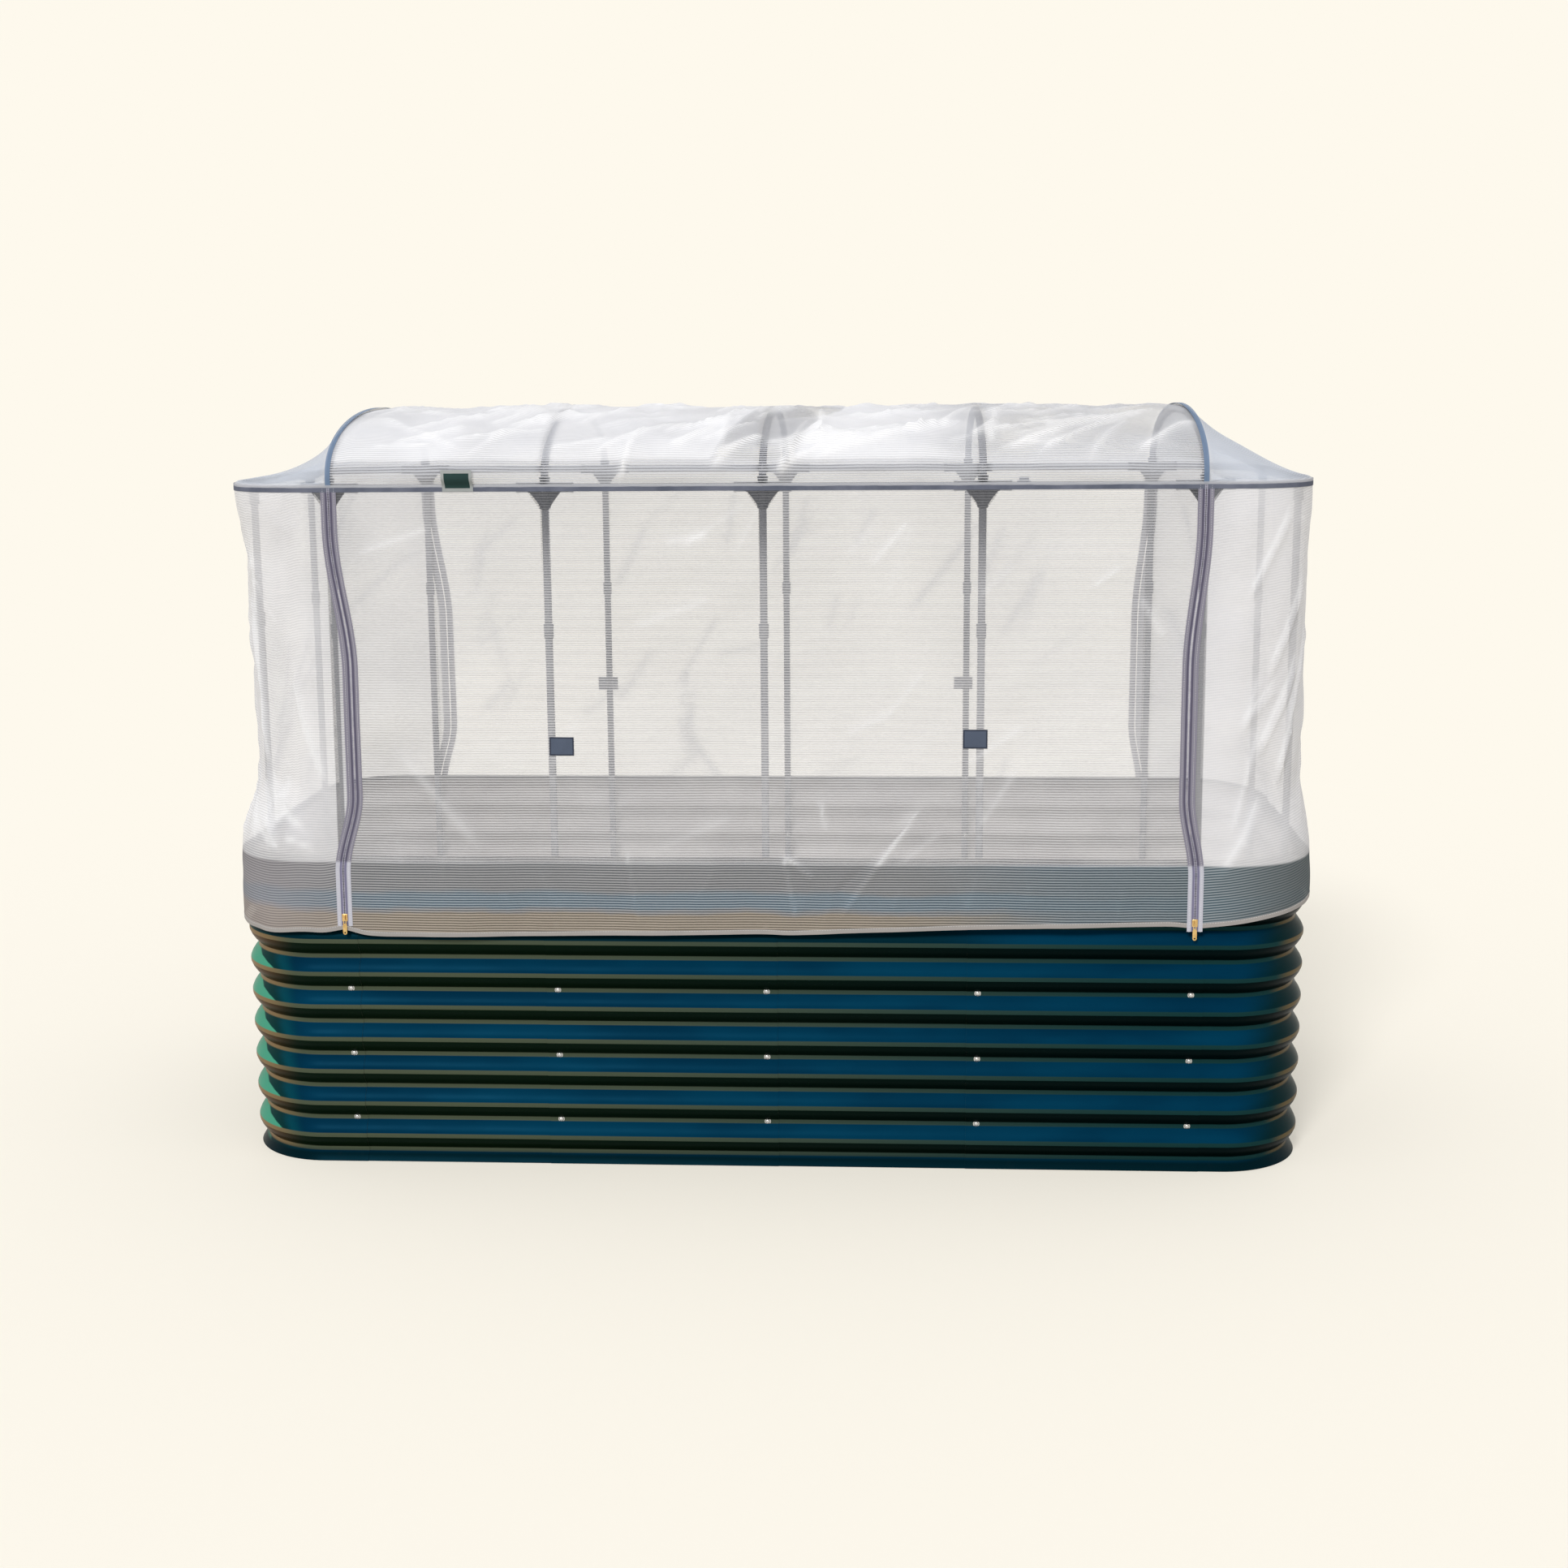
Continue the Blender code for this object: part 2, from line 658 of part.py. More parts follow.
def roof_net(finish):
    """The roof panel over the five hoops, slack between them."""
    half = LONG_HALF - ZIP_GAP / 2
    crown_offset = TUBE_RADIUS + PLAY

    def place(i, j):
        x = -half + 2 * half * i / ROOF_COLUMNS
        slack = 0.5 - 0.5 * math.cos(2 * math.pi * x / SEAM_SPACING)
        if j in (0, ARCH_STEPS + 2):
            side = -1 if j == 0 else 1
            return Vector((x, side * (ARCH_HALF + NET_WRAP), RAIL_HEIGHT + PLAY))
        turn = math.pi * (j - 1) / ARCH_STEPS
        up = math.sin(turn)
        offset = NET_WRAP + (crown_offset - NET_WRAP) * up * up
        y, z = arch_point(turn, offset)
        return Vector((x, y, z - ROOF_SAG * slack * smooth(up)))

    mesh = mapped_grid("roof_net", ROOF_COLUMNS, ARCH_STEPS + 2, place)
    net = place_object("roof_net", mesh, finish)
    thicken(net, NET, outward=True)


def end_net(side, finish):
    """The rounded end of the cover: a wall from the hem up to the rail, and a hip from the rail
    up to the end hoop, hollow as slack net is."""
    sign = 1 if side == "right" else -1
    turn = 0.0 if side == "right" else 2 * QUARTER
    start, end = LONG_HALF + ZIP_GAP / 2, 2 * QUARTER - LONG_HALF - ZIP_GAP / 2
    stations = [start, start + ZIP_TAPE, start + ZIP_TURN]
    stations += [CORNER_X + ARC * k / ARC_STEPS for k in range(ARC_STEPS)]
    corner_end = CORNER_X + ARC
    stations += [corner_end + CORNER_Y * k / END_FLAT_STEPS for k in range(END_FLAT_STEPS + 1)]
    stations += [2 * QUARTER - s for s in reversed(stations[:-1])]
    walls = wall_heights(HEM_HEIGHT, RAIL_HEIGHT)

    def hip_point(station, step):
        from_zip = min(station, 2 * QUARTER - station) - start
        rail = Vector((*around(turn + station, RING_RADIUS), RAIL_HEIGHT))
        outer = Vector((*around(turn + station, NET_TOP_RADIUS), RAIL_HEIGHT))
        over = smooth((from_zip - ZIP_TAPE) / ZIP_TURN)
        angle = math.pi / 2 * min(step / WRAP_STEPS, 1)
        wrap = Vector((0, 0, NET_WRAP * math.sin(angle)))
        inward = (outer - rail) * (math.cos(angle) - 1) * over
        on_rail = outer + inward + wrap
        if step <= WRAP_STEPS:
            return on_rail
        share = (station - start) / (end - start)
        across = share if side == "right" else 1 - share
        y, z = arch_point(math.pi * across, NET_WRAP)
        edge = Vector((sign * start, y, z))
        way = (step - WRAP_STEPS) / HIP_STEPS
        spot = on_rail.lerp(edge, way)
        spot.z = on_rail.z + (edge.z - on_rail.z) * way**HIP_HOLLOW
        return spot

    def place(i, j):
        station = stations[i]
        from_zip = min(station, 2 * QUARTER - station) - start
        if j < len(walls):
            radius = end_radius(walls[j], from_zip, station - QUARTER)
            return Vector((*around(turn + station, radius), walls[j]))
        return hip_point(station, j - len(walls) + 1)

    rows = len(walls) - 1 + WRAP_STEPS + HIP_STEPS
    mesh = mapped_grid(f"{side}_end_net", len(stations) - 1, rows, place, (sign * 0.9, 0, 1.0))
    net = place_object(f"{side}_end_net", mesh, finish)
    thicken(net, NET, outward=True)


# Zip sliders


def slider_mesh():
    """A slider about the middle of the tapes: a plate on each side of the net, a wedge between
    them in the zip, and a bridge on the face for the pull. It is drawn for the front, facing -Y."""
    room = NET / 2 + PLAY
    wide, tall = SLIDER_WIDTH / 2, SLIDER_LENGTH / 2
    face = -room - SLIDER_PLATE
    bar = face - BRIDGE_ROOM
    back = box_mesh((-wide, room, -tall), (wide, room + SLIDER_PLATE, tall))
    front = box_mesh((-wide, face, -tall), (wide, -room, tall))
    web_half = ZIP_GAP / 2 - PLAY
    overlap = SLIDER_PLATE / 2
    web_tall = tall - overlap
    web = box_mesh((-web_half, -room - overlap, -web_tall), (web_half, room + overlap, web_tall))
    half, reach = BRIDGE_WIDTH / 2, BRIDGE_LENGTH / 2
    solid = [web, back]
    for end in (-1, 1):
        foot = sorted((end * reach, end * (reach - BRIDGE_BAR)))
        solid.append(box_mesh((-half, bar - overlap, foot[0]), (half, face + overlap, foot[1])))
    solid.append(box_mesh((-half, bar - BRIDGE_BAR, -reach), (half, bar, reach)))
    return shaped("slider", front, solid)


def pull_mesh():
    """A flat tab about its hinge bar: a slot that passes round the bridge, and a hole at its end."""
    half, neck = TAB_WIDTH / 2, TAB_NECK / 2
    bar = TAB_THICKNESS / 2
    slot_half = BRIDGE_WIDTH / 2 + PLAY
    shoulder = -TAB_SLOT - TAB_SHOULDER
    tip = -TAB_LENGTH + half
    outline = [(-neck, bar), (neck, bar), (neck, -TAB_SLOT), (half, shoulder)]
    outline += [(half * math.cos(a), tip - half * math.sin(a)) for a in arc_turns(TAB_ARC_STEPS)]
    outline += [(-half, shoulder), (-neck, -TAB_SLOT)]
    slot = [(-slot_half, -bar), (slot_half, -bar), (slot_half, -TAB_SLOT), (-slot_half, -TAB_SLOT)]
    turns = [2 * turn for turn in arc_turns(ROD_SIDES)[:-1]]
    hole = [(TAB_HOLE_RADIUS * math.cos(a), tip + TAB_HOLE_RADIUS * math.sin(a)) for a in turns]
    path = bpy.data.curves.new("pull", "CURVE")
    path.dimensions = "2D"
    path.fill_mode = "BOTH"
    path.extrude = TAB_THICKNESS / 2
    for ring in (outline, slot, hole):
        line = path.splines.new("POLY")
        line.points.add(len(ring) - 1)
        line.use_cyclic_u = True
        for spot, (x, z) in zip(line.points, ring):
            spot.co = (x, z, 0.0, 1.0)
    flat = helper("pull", path)
    mesh = as_mesh(flat)
    bpy.data.objects.remove(flat)
    mesh.transform(Matrix.Rotation(math.pi / 2, 4, "X"))
    mesh.name = "pull"
    return mesh


def sliders(finish):
    """A slider and its pull at the foot of each zip."""
    body, pull = slider_mesh(), pull_mesh()
    height = HEM_HEIGHT + HEM_BAND + 2 * PLAY + SLIDER_LENGTH / 2
    hinge_out = NET / 2 + PLAY + SLIDER_PLATE + BRIDGE_ROOM / 2
    hinge_down = BRIDGE_LENGTH / 2 - BRIDGE_BAR - TAB_THICKNESS
    for row, side in ZIP_SPOTS:
        sign = -1 if row == "front" else 1
        x = -LONG_HALF if side == "left" else LONG_HALF
        carrier = bpy.data.objects.new(f"{row}_{side}_zip_axis", None)
        greenhouse.objects.link(carrier)
        carrier.location = (x, sign * (CORNER_Y + zip_radius(height) + NET / 2), height)
        lean = math.atan(ZIP_LEAN)
        carrier.rotation_euler = (-lean, 0, 0 if row == "front" else math.pi)
        slider = place_object(f"{row}_{side}_slider", body, finish)
        slider.parent = carrier
        tab = place_object(f"{row}_{side}_pull", pull, finish)
        tab.parent = carrier
        tab.location = (0, -hinge_out, -hinge_down)


for old in list(bpy.data.objects):
    bpy.data.objects.remove(old)
greenhouse = bpy.data.collections.new("raised_bed_greenhouse")
helpers = bpy.data.collections.new("cutters")
bpy.context.scene.collection.children.link(greenhouse)
bpy.context.scene.collection.children.link(helpers)

green_steel = material("green painted steel", (0.035, 0.085, 0.060), 0.35, 0.3)
black_rubber = material("black rubber", (0.020, 0.022, 0.022), 0.7)
galvanised = material("galvanised rod", (0.55, 0.56, 0.57), 0.4, 1.0)
grey_tube = material("grey coated tube", (0.13, 0.135, 0.145), 0.4, 0.2)
grey_plastic = material("grey plastic tee", (0.11, 0.115, 0.125), 0.5)
white_net = material("white net", (0.90, 0.90, 0.89), 0.8)
white_hem = material("white hem", (0.86, 0.86, 0.86), 0.85)
gold_metal = material("gold zip metal", (0.72, 0.52, 0.24), 0.3, 1.0)

bed_wall(green_steel)
rim_edging(black_rubber)
cross_braces(galvanised)
front_frame(grey_tube, grey_plastic)
rear_frame(grey_tube)
end_rails(grey_tube)
posts(grey_tube, grey_plastic)
hoops(grey_tube)
roof_net(white_net)
for end_side in ("left", "right"):
    end_net(end_side, white_net)
for long_row in ("front", "rear"):
    door_net(long_row, white_net)
    hem_band(long_row, white_hem)
sliders(gold_metal)
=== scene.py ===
# %% [markdown]
# # An oval raised bed with a zipped net cover
# The real object has three layers: a ring of corrugated steel panels, a tube frame that
# stands inside it, and a fitted net over both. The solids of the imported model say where
# everything is and what moves. This lesson dresses them: finer meshes for what the eye
# reads as round or soft, small repeated parts grown by Geometry Nodes, and a node material
# for every finish.

import json
import math

import bmesh
import bpy
import numpy as np
from mathutils import Matrix, Vector

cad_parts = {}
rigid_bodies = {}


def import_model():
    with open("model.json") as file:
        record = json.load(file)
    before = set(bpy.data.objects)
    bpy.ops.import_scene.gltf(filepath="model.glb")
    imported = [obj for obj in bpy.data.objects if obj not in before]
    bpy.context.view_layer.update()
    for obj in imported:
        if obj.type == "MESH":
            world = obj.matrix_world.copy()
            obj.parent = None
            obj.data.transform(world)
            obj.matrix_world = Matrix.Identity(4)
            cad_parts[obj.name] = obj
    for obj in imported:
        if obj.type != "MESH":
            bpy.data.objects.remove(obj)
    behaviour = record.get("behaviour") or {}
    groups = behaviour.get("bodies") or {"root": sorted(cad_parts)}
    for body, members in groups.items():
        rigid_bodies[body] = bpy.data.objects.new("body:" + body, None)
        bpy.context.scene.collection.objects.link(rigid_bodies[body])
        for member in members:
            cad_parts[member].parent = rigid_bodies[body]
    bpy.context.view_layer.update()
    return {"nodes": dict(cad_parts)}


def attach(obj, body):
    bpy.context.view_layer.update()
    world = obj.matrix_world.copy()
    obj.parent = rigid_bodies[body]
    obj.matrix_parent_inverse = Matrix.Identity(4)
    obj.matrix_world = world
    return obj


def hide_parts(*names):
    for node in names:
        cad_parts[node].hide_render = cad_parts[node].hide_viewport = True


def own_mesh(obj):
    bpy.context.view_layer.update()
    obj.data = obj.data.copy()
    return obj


for old in list(bpy.data.objects):
    bpy.data.objects.remove(old)
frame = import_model()

# %% [markdown]
# ## Camera
# The photograph was taken a little right of the middle, from eye height, with a slightly
# long lens. The camera is built from a position and three turns, so that each number can
# be checked against the picture by itself: turn left, look down, and a trace of roll.

# %% Camera
PHOTO_SIDE = 1932
FOCAL_PIXELS = 2592.0
CAMERA_AT = Vector((0.279, -4.871, 1.702))
TURN_LEFT, LOOK_DOWN, ROLL = (math.radians(x) for x in (3.100, 10.901, -0.401))

camera_data = bpy.data.cameras.new("camera")
camera_data.sensor_width = 36.0
camera_data.lens = FOCAL_PIXELS / PHOTO_SIDE * camera_data.sensor_width
camera = bpy.data.objects.new("camera", camera_data)
bpy.context.scene.collection.objects.link(camera)
bpy.context.scene.camera = camera
aim = Matrix.Rotation(TURN_LEFT, 4, "Z") @ Matrix.Rotation(math.pi / 2 - LOOK_DOWN, 4, "X")
camera.matrix_world = Matrix.Translation(CAMERA_AT) @ aim @ Matrix.Rotation(ROLL, 4, "Z")
print("lens", round(camera_data.lens, 2), "mm")

# %% [markdown]
# ## Sizes
# The plan is a rectangle with rounded corners. A *station* is a length along the bed's
# outer face from the middle of the front, and a *radius* is how far out a point lies from
# the corner centres. Every wall, rail and net is a function of these two, so they nest.

# %% Sizes of the bed, frame and cover
SEAM_SPACING = 0.457
LONG_HALF = 2 * SEAM_SPACING
CORNER_STRAIGHT = 0.075
CORNER_RADIUS = 0.190
CORNER_X = LONG_HALF + CORNER_STRAIGHT
CORNER_Y = SEAM_SPACING / 2 + CORNER_STRAIGHT
ARC = CORNER_RADIUS * math.pi / 2
QUARTER = CORNER_X + ARC + CORNER_Y
END_SEAM = QUARTER - SEAM_SPACING / 2

WALL_HEIGHT = 0.690
WAVE_PITCH = 0.074
WAVE_DEPTH = 0.020
WAVE_FLAT = 0.007
FIRST_VALLEY = 0.024
RIM_BAND = 0.010
SHEET = 0.0008
SEAM_LAP = 0.024
PLAY = 0.0003
LAP_STEP = SHEET + PLAY
VALLEY_FACE = CORNER_RADIUS - WAVE_DEPTH
VALLEY_INSIDE = VALLEY_FACE - LAP_STEP - SHEET

TUBE = 0.008
RAIL = 1.482
HOOP_RISE = 0.148
SOCKET_RISE = 0.022
COLLAR_DROP = 0.045
COUPLER_AT = 1.180
SOCKET_STOP = 0.0025
EDGING_WALL = 0.0015
EDGING_INSIDE = VALLEY_INSIDE - PLAY - EDGING_WALL
RING = EDGING_INSIDE - PLAY - TUBE
SOCKET = TUBE + PLAY + 0.0022
ARCH_FOOT = RAIL + SOCKET_RISE
ARCH_RISE = HOOP_RISE - SOCKET_RISE
ARCH_HALF = CORNER_Y + RING

NET_WRAP = (SOCKET + PLAY) / math.cos(math.pi / 8)
NET_TOP = RING + NET_WRAP
TOP_CREST = WALL_HEIGHT - WAVE_PITCH / 2
SLIDER_BACK = 0.0012
ZIP_LEAN = (CORNER_RADIUS + SLIDER_BACK + 3 * PLAY - NET_TOP) / (RAIL - TOP_CREST)
HEM_DROP = 0.150
HEM = WALL_HEIGHT - HEM_DROP
HEM_BAND = 0.010
ZIP_GAP = 0.003
SEAM_X = [SEAM_SPACING * k for k in (-2, -1, 0, 1, 2)]
seam_stations = [*SEAM_X, END_SEAM, 2 * QUARTER - END_SEAM]
seam_stations += [2 * QUARTER - x for x in reversed(SEAM_X)]
seam_stations += [2 * QUARTER + END_SEAM, 4 * QUARTER - END_SEAM]
lean = math.degrees(math.atan(ZIP_LEAN))
print("ring radius", round(RING, 4), "zip leans", round(lean, 2), "deg")


# %% [markdown]
# ## Plan of the bed
# Written for whole arrays of points at once, because the nets have tens of thousands.

# %% Points and outward directions of the plan
def plan(station, radius):
    """x, y of the rounded plan and the outward direction there."""
    station, radius = np.broadcast_arrays(np.asarray(station, float), np.asarray(radius, float))
    lap = np.mod(station, 4 * QUARTER)
    turned = lap >= 2 * QUARTER
    lap = np.where(turned, lap - 2 * QUARTER, lap)
    mirrored = lap > QUARTER
    lap = np.where(mirrored, 2 * QUARTER - lap, lap)
    angle = np.clip((lap - CORNER_X) / CORNER_RADIUS, 0, math.pi / 2)
    x = np.minimum(lap, CORNER_X) + radius * np.sin(angle)
    y = -(CORNER_Y + radius * np.cos(angle)) + np.maximum(lap - CORNER_X - ARC, 0)
    out_x, out_y = np.sin(angle), -np.cos(angle)
    y, out_y = np.where(mirrored, -y, y), np.where(mirrored, -out_y, out_y)
    sign = np.where(turned, -1.0, 1.0)
    return sign * x, sign * y, sign * out_x, sign * out_y


def smooth(value):
    value = np.clip(value, 0, 1)
    return value * value * (3 - 2 * value)


CORNER_STEPS = 24


def bends(start, end):
    """Stations from start to end, with points only where the plan curves."""
    corners = [CORNER_X, 2 * QUARTER - CORNER_X - ARC]
    corners += [2 * QUARTER + c for c in corners]
    corners = [c + lap * 4 * QUARTER for lap in (-1, 0, 1) for c in corners]
    found = sorted(c + ARC * k / CORNER_STEPS for c in corners for k in range(CORNER_STEPS + 1))
    return [start] + [s for s in found if start + 1e-4 < s < end - 1e-4] + [end]


# %% [markdown]
# ## Node trees as sums
# A material or a geometry tree is easier to read as arithmetic than as a drawing. `Value`
# wraps a socket, so that `1 - mask` or `height * 2` adds the Math node that does it, and
# `Tree.node` makes any other node from its type, its settings and what goes in.

# %% Node helpers
class Value:
    """A socket that can be added, multiplied and compared."""

    def __init__(self, tree, socket):
        self.tree, self.socket = tree, socket

    def _with(self, operation, *values):
        return self.tree.node("ShaderNodeMath", *values, operation=operation)

    def __add__(self, other): return self._with("ADD", self, other)
    def __radd__(self, other): return self._with("ADD", other, self)
    def __sub__(self, other): return self._with("SUBTRACT", self, other)
    def __rsub__(self, other): return self._with("SUBTRACT", other, self)
    def __mul__(self, other): return self._with("MULTIPLY", self, other)
    def __rmul__(self, other): return self._with("MULTIPLY", other, self)
    def __truediv__(self, other): return self._with("DIVIDE", self, other)
    def __rtruediv__(self, other): return self._with("DIVIDE", other, self)
    def __mod__(self, other): return self._with("FLOORED_MODULO", self, other)
    def __gt__(self, other): return self._with("GREATER_THAN", self, other)
    def __abs__(self): return self._with("ABSOLUTE", self)
    def __neg__(self): return self._with("MULTIPLY", self, -1.0)
    def cos(self): return self._with("COSINE", self)
    def floor(self): return self._with("FLOOR", self)
    def power(self, other): return self._with("POWER", self, other)
    def clamped(self): return self.tree.node("ShaderNodeClamp", self)
    def at_least(self, other): return self._with("MAXIMUM", self, other)

    def step(self, low, high):
        """0 below low, 1 above high, and a smooth rise between."""
        return self.tree.node("ShaderNodeMapRange", self, low, high, 0.0, 1.0,
                              interpolation_type="SMOOTHSTEP")

    def out(self, name):
        return Value(self.tree, self.socket.node.outputs[name])


class Tree:
    """Adds nodes to a material's or a modifier's node tree."""

    def __init__(self, tree):
        self.tree = tree

    def feed(self, socket, value):
        if isinstance(value, Value):
            self.tree.links.new(value.socket, socket)
        elif hasattr(socket, "default_value"):
            if socket.type == "RGBA" and len(value) == 3:
                value = (*value, 1.0)
            socket.default_value = value

    def join(self, *geometries):
        """Several geometries as one."""
        made = self.tree.nodes.new("GeometryNodeJoinGeometry")
        for geometry in geometries:
            self.tree.links.new(geometry.socket, made.inputs[0])
        return Value(self, made.outputs[0])

    def node(self, kind, *values, **named):
        """A new node. Names in lower case are its settings, the others are its sockets."""
        made = self.tree.nodes.new(kind)
        sockets = dict(enumerate(values))
        for key, value in named.items():
            if key[0].islower():
                setattr(made, key, value)
            else:
                sockets[key.replace("_", " ")] = value
        for key, value in sockets.items():
            self.feed(made.inputs[key], value)
        return Value(self, made.outputs[0]) if made.outputs else made

    def place(self):
        """Where on its object a point lies, in metres."""
        return self.node("ShaderNodeTexCoord").out("Object")

    def map(self, name):
        return self.node("ShaderNodeUVMap", uv_map=name)

    def parts(self, vector):
        """The x, y and z of a vector."""
        split = self.node("ShaderNodeSeparateXYZ", vector)
        return split, split.out("Y"), split.out("Z")

    def joined(self, x, y, z):
        return self.node("ShaderNodeCombineXYZ", x, y, z)

    def blend(self, share, first, second):
        """A colour between two others."""
        made = self.tree.nodes.new("ShaderNodeMix")
        made.data_type = "RGBA"
        for place, value in ((0, share), (6, first), (7, second)):
            self.feed(made.inputs[place], value)
        return Value(self, made.outputs[2])

    def noise(self, where, scale, detail=2.0, rough=0.5, stretch=None):
        """Soft random values around 0.5 that follow a place on the piece."""
        if stretch:
            where = self.node("ShaderNodeVectorMath", where, stretch, operation="MULTIPLY")
        return self.node("ShaderNodeTexNoise", Vector=where, Scale=scale, Detail=detail,
                         Roughness=rough)


# %% [markdown]
# ## Plain pieces
# A few small makers serve the whole scene. One turns an evaluated object into a plain mesh
# at the origin, one hands a piece to the body that carries it, and one grows a piece from
# a geometry tree whose named inputs are its sizes.

# %% Piece helpers
collection = bpy.context.scene.collection
MERGE = 1e-6
SHARP_ANGLE = math.radians(38)


def linked(name, data):
    made = bpy.data.objects.new(name, data)
    collection.objects.link(made)
    return made


def edited(mesh, change):
    """Lets a function change a mesh through its editable cells."""
    cells = bmesh.new()
    cells.from_mesh(mesh)
    change(cells)
    cells.to_mesh(mesh)
    cells.free()


def closed(cells):
    """Fills the open ends and turns all faces outwards."""
    bmesh.ops.holes_fill(cells, edges=[e for e in cells.edges if e.is_boundary])
    bmesh.ops.recalc_face_normals(cells, faces=cells.faces)


def plain(name, source, merge=MERGE):
    """The evaluated source as a plain mesh object at the origin, and the source removed."""
    bpy.context.view_layer.update()
    graph = bpy.context.evaluated_depsgraph_get()
    mesh = bpy.data.meshes.new_from_object(source.evaluated_get(graph))
    mesh.transform(source.matrix_world)
    if merge:
        edited(mesh, lambda cells: bmesh.ops.remove_doubles(cells, verts=cells.verts, dist=merge))
    bpy.data.objects.remove(source)
    mesh.name = name
    return linked(name, mesh)


def finished(piece, body, slot, *nodes):
    """Rides on its body and stands for the CAD nodes it replaces; the slot is not used."""
    piece.data.shade_smooth()
    piece.data.set_sharp_from_angle(angle=SHARP_ANGLE)
    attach(piece, body)
    if nodes:
        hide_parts(*nodes)
    return piece


def facing_out(sheet):
    """Turns the faces of an open sheet away from the middle of the bed and its cover."""
    middle = Vector((0.0, 0.0, 0.9))
    away = sum(f.area * f.normal.dot(f.center - middle) for f in sheet.data.polygons)
    if away < 0:
        sheet.data.flip_normals()
    return sheet


def eased(piece, width, angle):
    """Rounds the edges of a piece that turn by more than an angle in degrees."""
    ease = piece.modifiers.new("Ease", "BEVEL")
    ease.width, ease.segments, ease.angle_limit = width, 2, math.radians(angle)


def geometry_tree(name, inputs):
    """An empty geometry tree with named inputs, its first geometry and its output node."""
    group = bpy.data.node_groups.new(name, "GeometryNodeTree")
    face = group.interface
    face.new_socket("Geometry", in_out="INPUT", socket_type="NodeSocketGeometry")
    face.new_socket("Geometry", in_out="OUTPUT", socket_type="NodeSocketGeometry")
    for label, kind in inputs.items():
        face.new_socket(label, in_out="INPUT", socket_type="NodeSocket" + kind)
    tree = Tree(group)
    given = tree.node("NodeGroupInput")
    return tree, given


def end_tree(tree, geometry, material):
    """Realizes copies, gives them their finish and ends the tree."""
    solid = tree.node("GeometryNodeRealizeInstances", geometry)
    dressed = tree.node("GeometryNodeSetMaterial", Geometry=solid, Material=material)
    tree.tree.nodes.new("NodeGroupOutput")
    tree.tree.links.new(dressed.socket, tree.tree.nodes[-1].inputs[0])


def grown(name, base, tree, **values):
    """The base object with the tree's modifier, turned into a plain mesh."""
    modifier = base.modifiers.new("Grow", "NODES")
    modifier.node_group = tree.tree
    known = {s.name: s.identifier for s in tree.tree.interface.items_tree if s.in_out == "INPUT"}
    for label, value in values.items():
        modifier[known[label.replace("_", " ")]] = value
    return plain(name, base, merge=0)


def line_object(name, points):
    """A poly curve through the points."""
    data = bpy.data.curves.new(name, "CURVE")
    data.dimensions = "3D"
    spline = data.splines.new("POLY")
    spline.points.add(len(points) - 1)
    spline.points.foreach_set("co", np.c_[np.asarray(points, float), np.ones(len(points))].ravel())
    return linked(name, data)


def material(name, **constants):
    """A new material with its Principled shader, whose sockets take the constants."""
    made = bpy.data.materials.new(name)
    made.use_nodes = True
    tree = Tree(made.node_tree)
    shader = made.node_tree.nodes["Principled BSDF"]
    for key, value in constants.items():
        tree.feed(shader.inputs[key.replace("_", " ")], value)
    return made, tree, shader


def shade(tree, shader, **links):
    for key, value in links.items():
        tree.feed(shader.inputs[key.replace("_", " ")], value)


def bump(tree, height, strength, distance):
    return tree.node("ShaderNodeBump", Strength=strength, Distance=distance, Height=height)


# %% [markdown]
# ## Finishes
# ### Green coated steel
# The panels have one glossy dark green coat. The reflections and shade that a corrugated wall
# shows are painted into its colour. Each slope that faces up is painted with the blue of the
# sky as a painted reflection, and each slope that faces down is painted almost black as shade.
# The narrow flats at crest and valley are painted with an olive reflection that is warmest at
# the left and turns to teal at the right. The bands follow the surface's own upward slope,
# so they stay on it from every side. Round the ends the slopes are painted teal and the crests
# a warm brown glint, and a bright green reflection is painted where the left end turns away.
# The steel under the net's skirt and along the foot of the wall is painted darker as shadow.
# The inner side has a pale grey backing coat.

# %% Green steel
FLAT_LINE = 0.0050
SLOPE_EDGE = (0.05, 0.20)
FRONT_EDGE = (-0.40, -0.22)
green_steel, t, shader = material("green coated steel", IOR=1.45, Specular_IOR_Level=0.06,
                                  Specular_Tint=(0.10, 0.60, 1.0))
where = t.place()
place_x, place_y, height = t.parts(where)
normal_x, _, normal_z = t.parts(t.node("ShaderNodeNewGeometry").out("Normal"))
cloudy = t.noise(where, 3.0, 3.0, stretch=(1.0, 1.0, 4.0)).step(0.3, 0.7)
up = normal_z.step(*SLOPE_EDGE)
down = (-normal_z).step(*SLOPE_EDGE)
corner = abs(normal_x).step(0.10, 0.60)
far_end = abs(normal_x).step(0.55, 0.80)
front = 1 - place_y.step(*FRONT_EDGE)
left_end = (-normal_x).step(0.20, 0.75)
from_crest = abs((height - FIRST_VALLEY) % WAVE_PITCH - WAVE_PITCH / 2)
crest = 1 - from_crest.step(FLAT_LINE - 0.0012, FLAT_LINE + 0.0008)
valley = from_crest.step(WAVE_PITCH / 2 - FLAT_LINE - 0.0008, WAVE_PITCH / 2 - FLAT_LINE + 0.0012)
rightward = place_x.step(-0.80, 1.00)
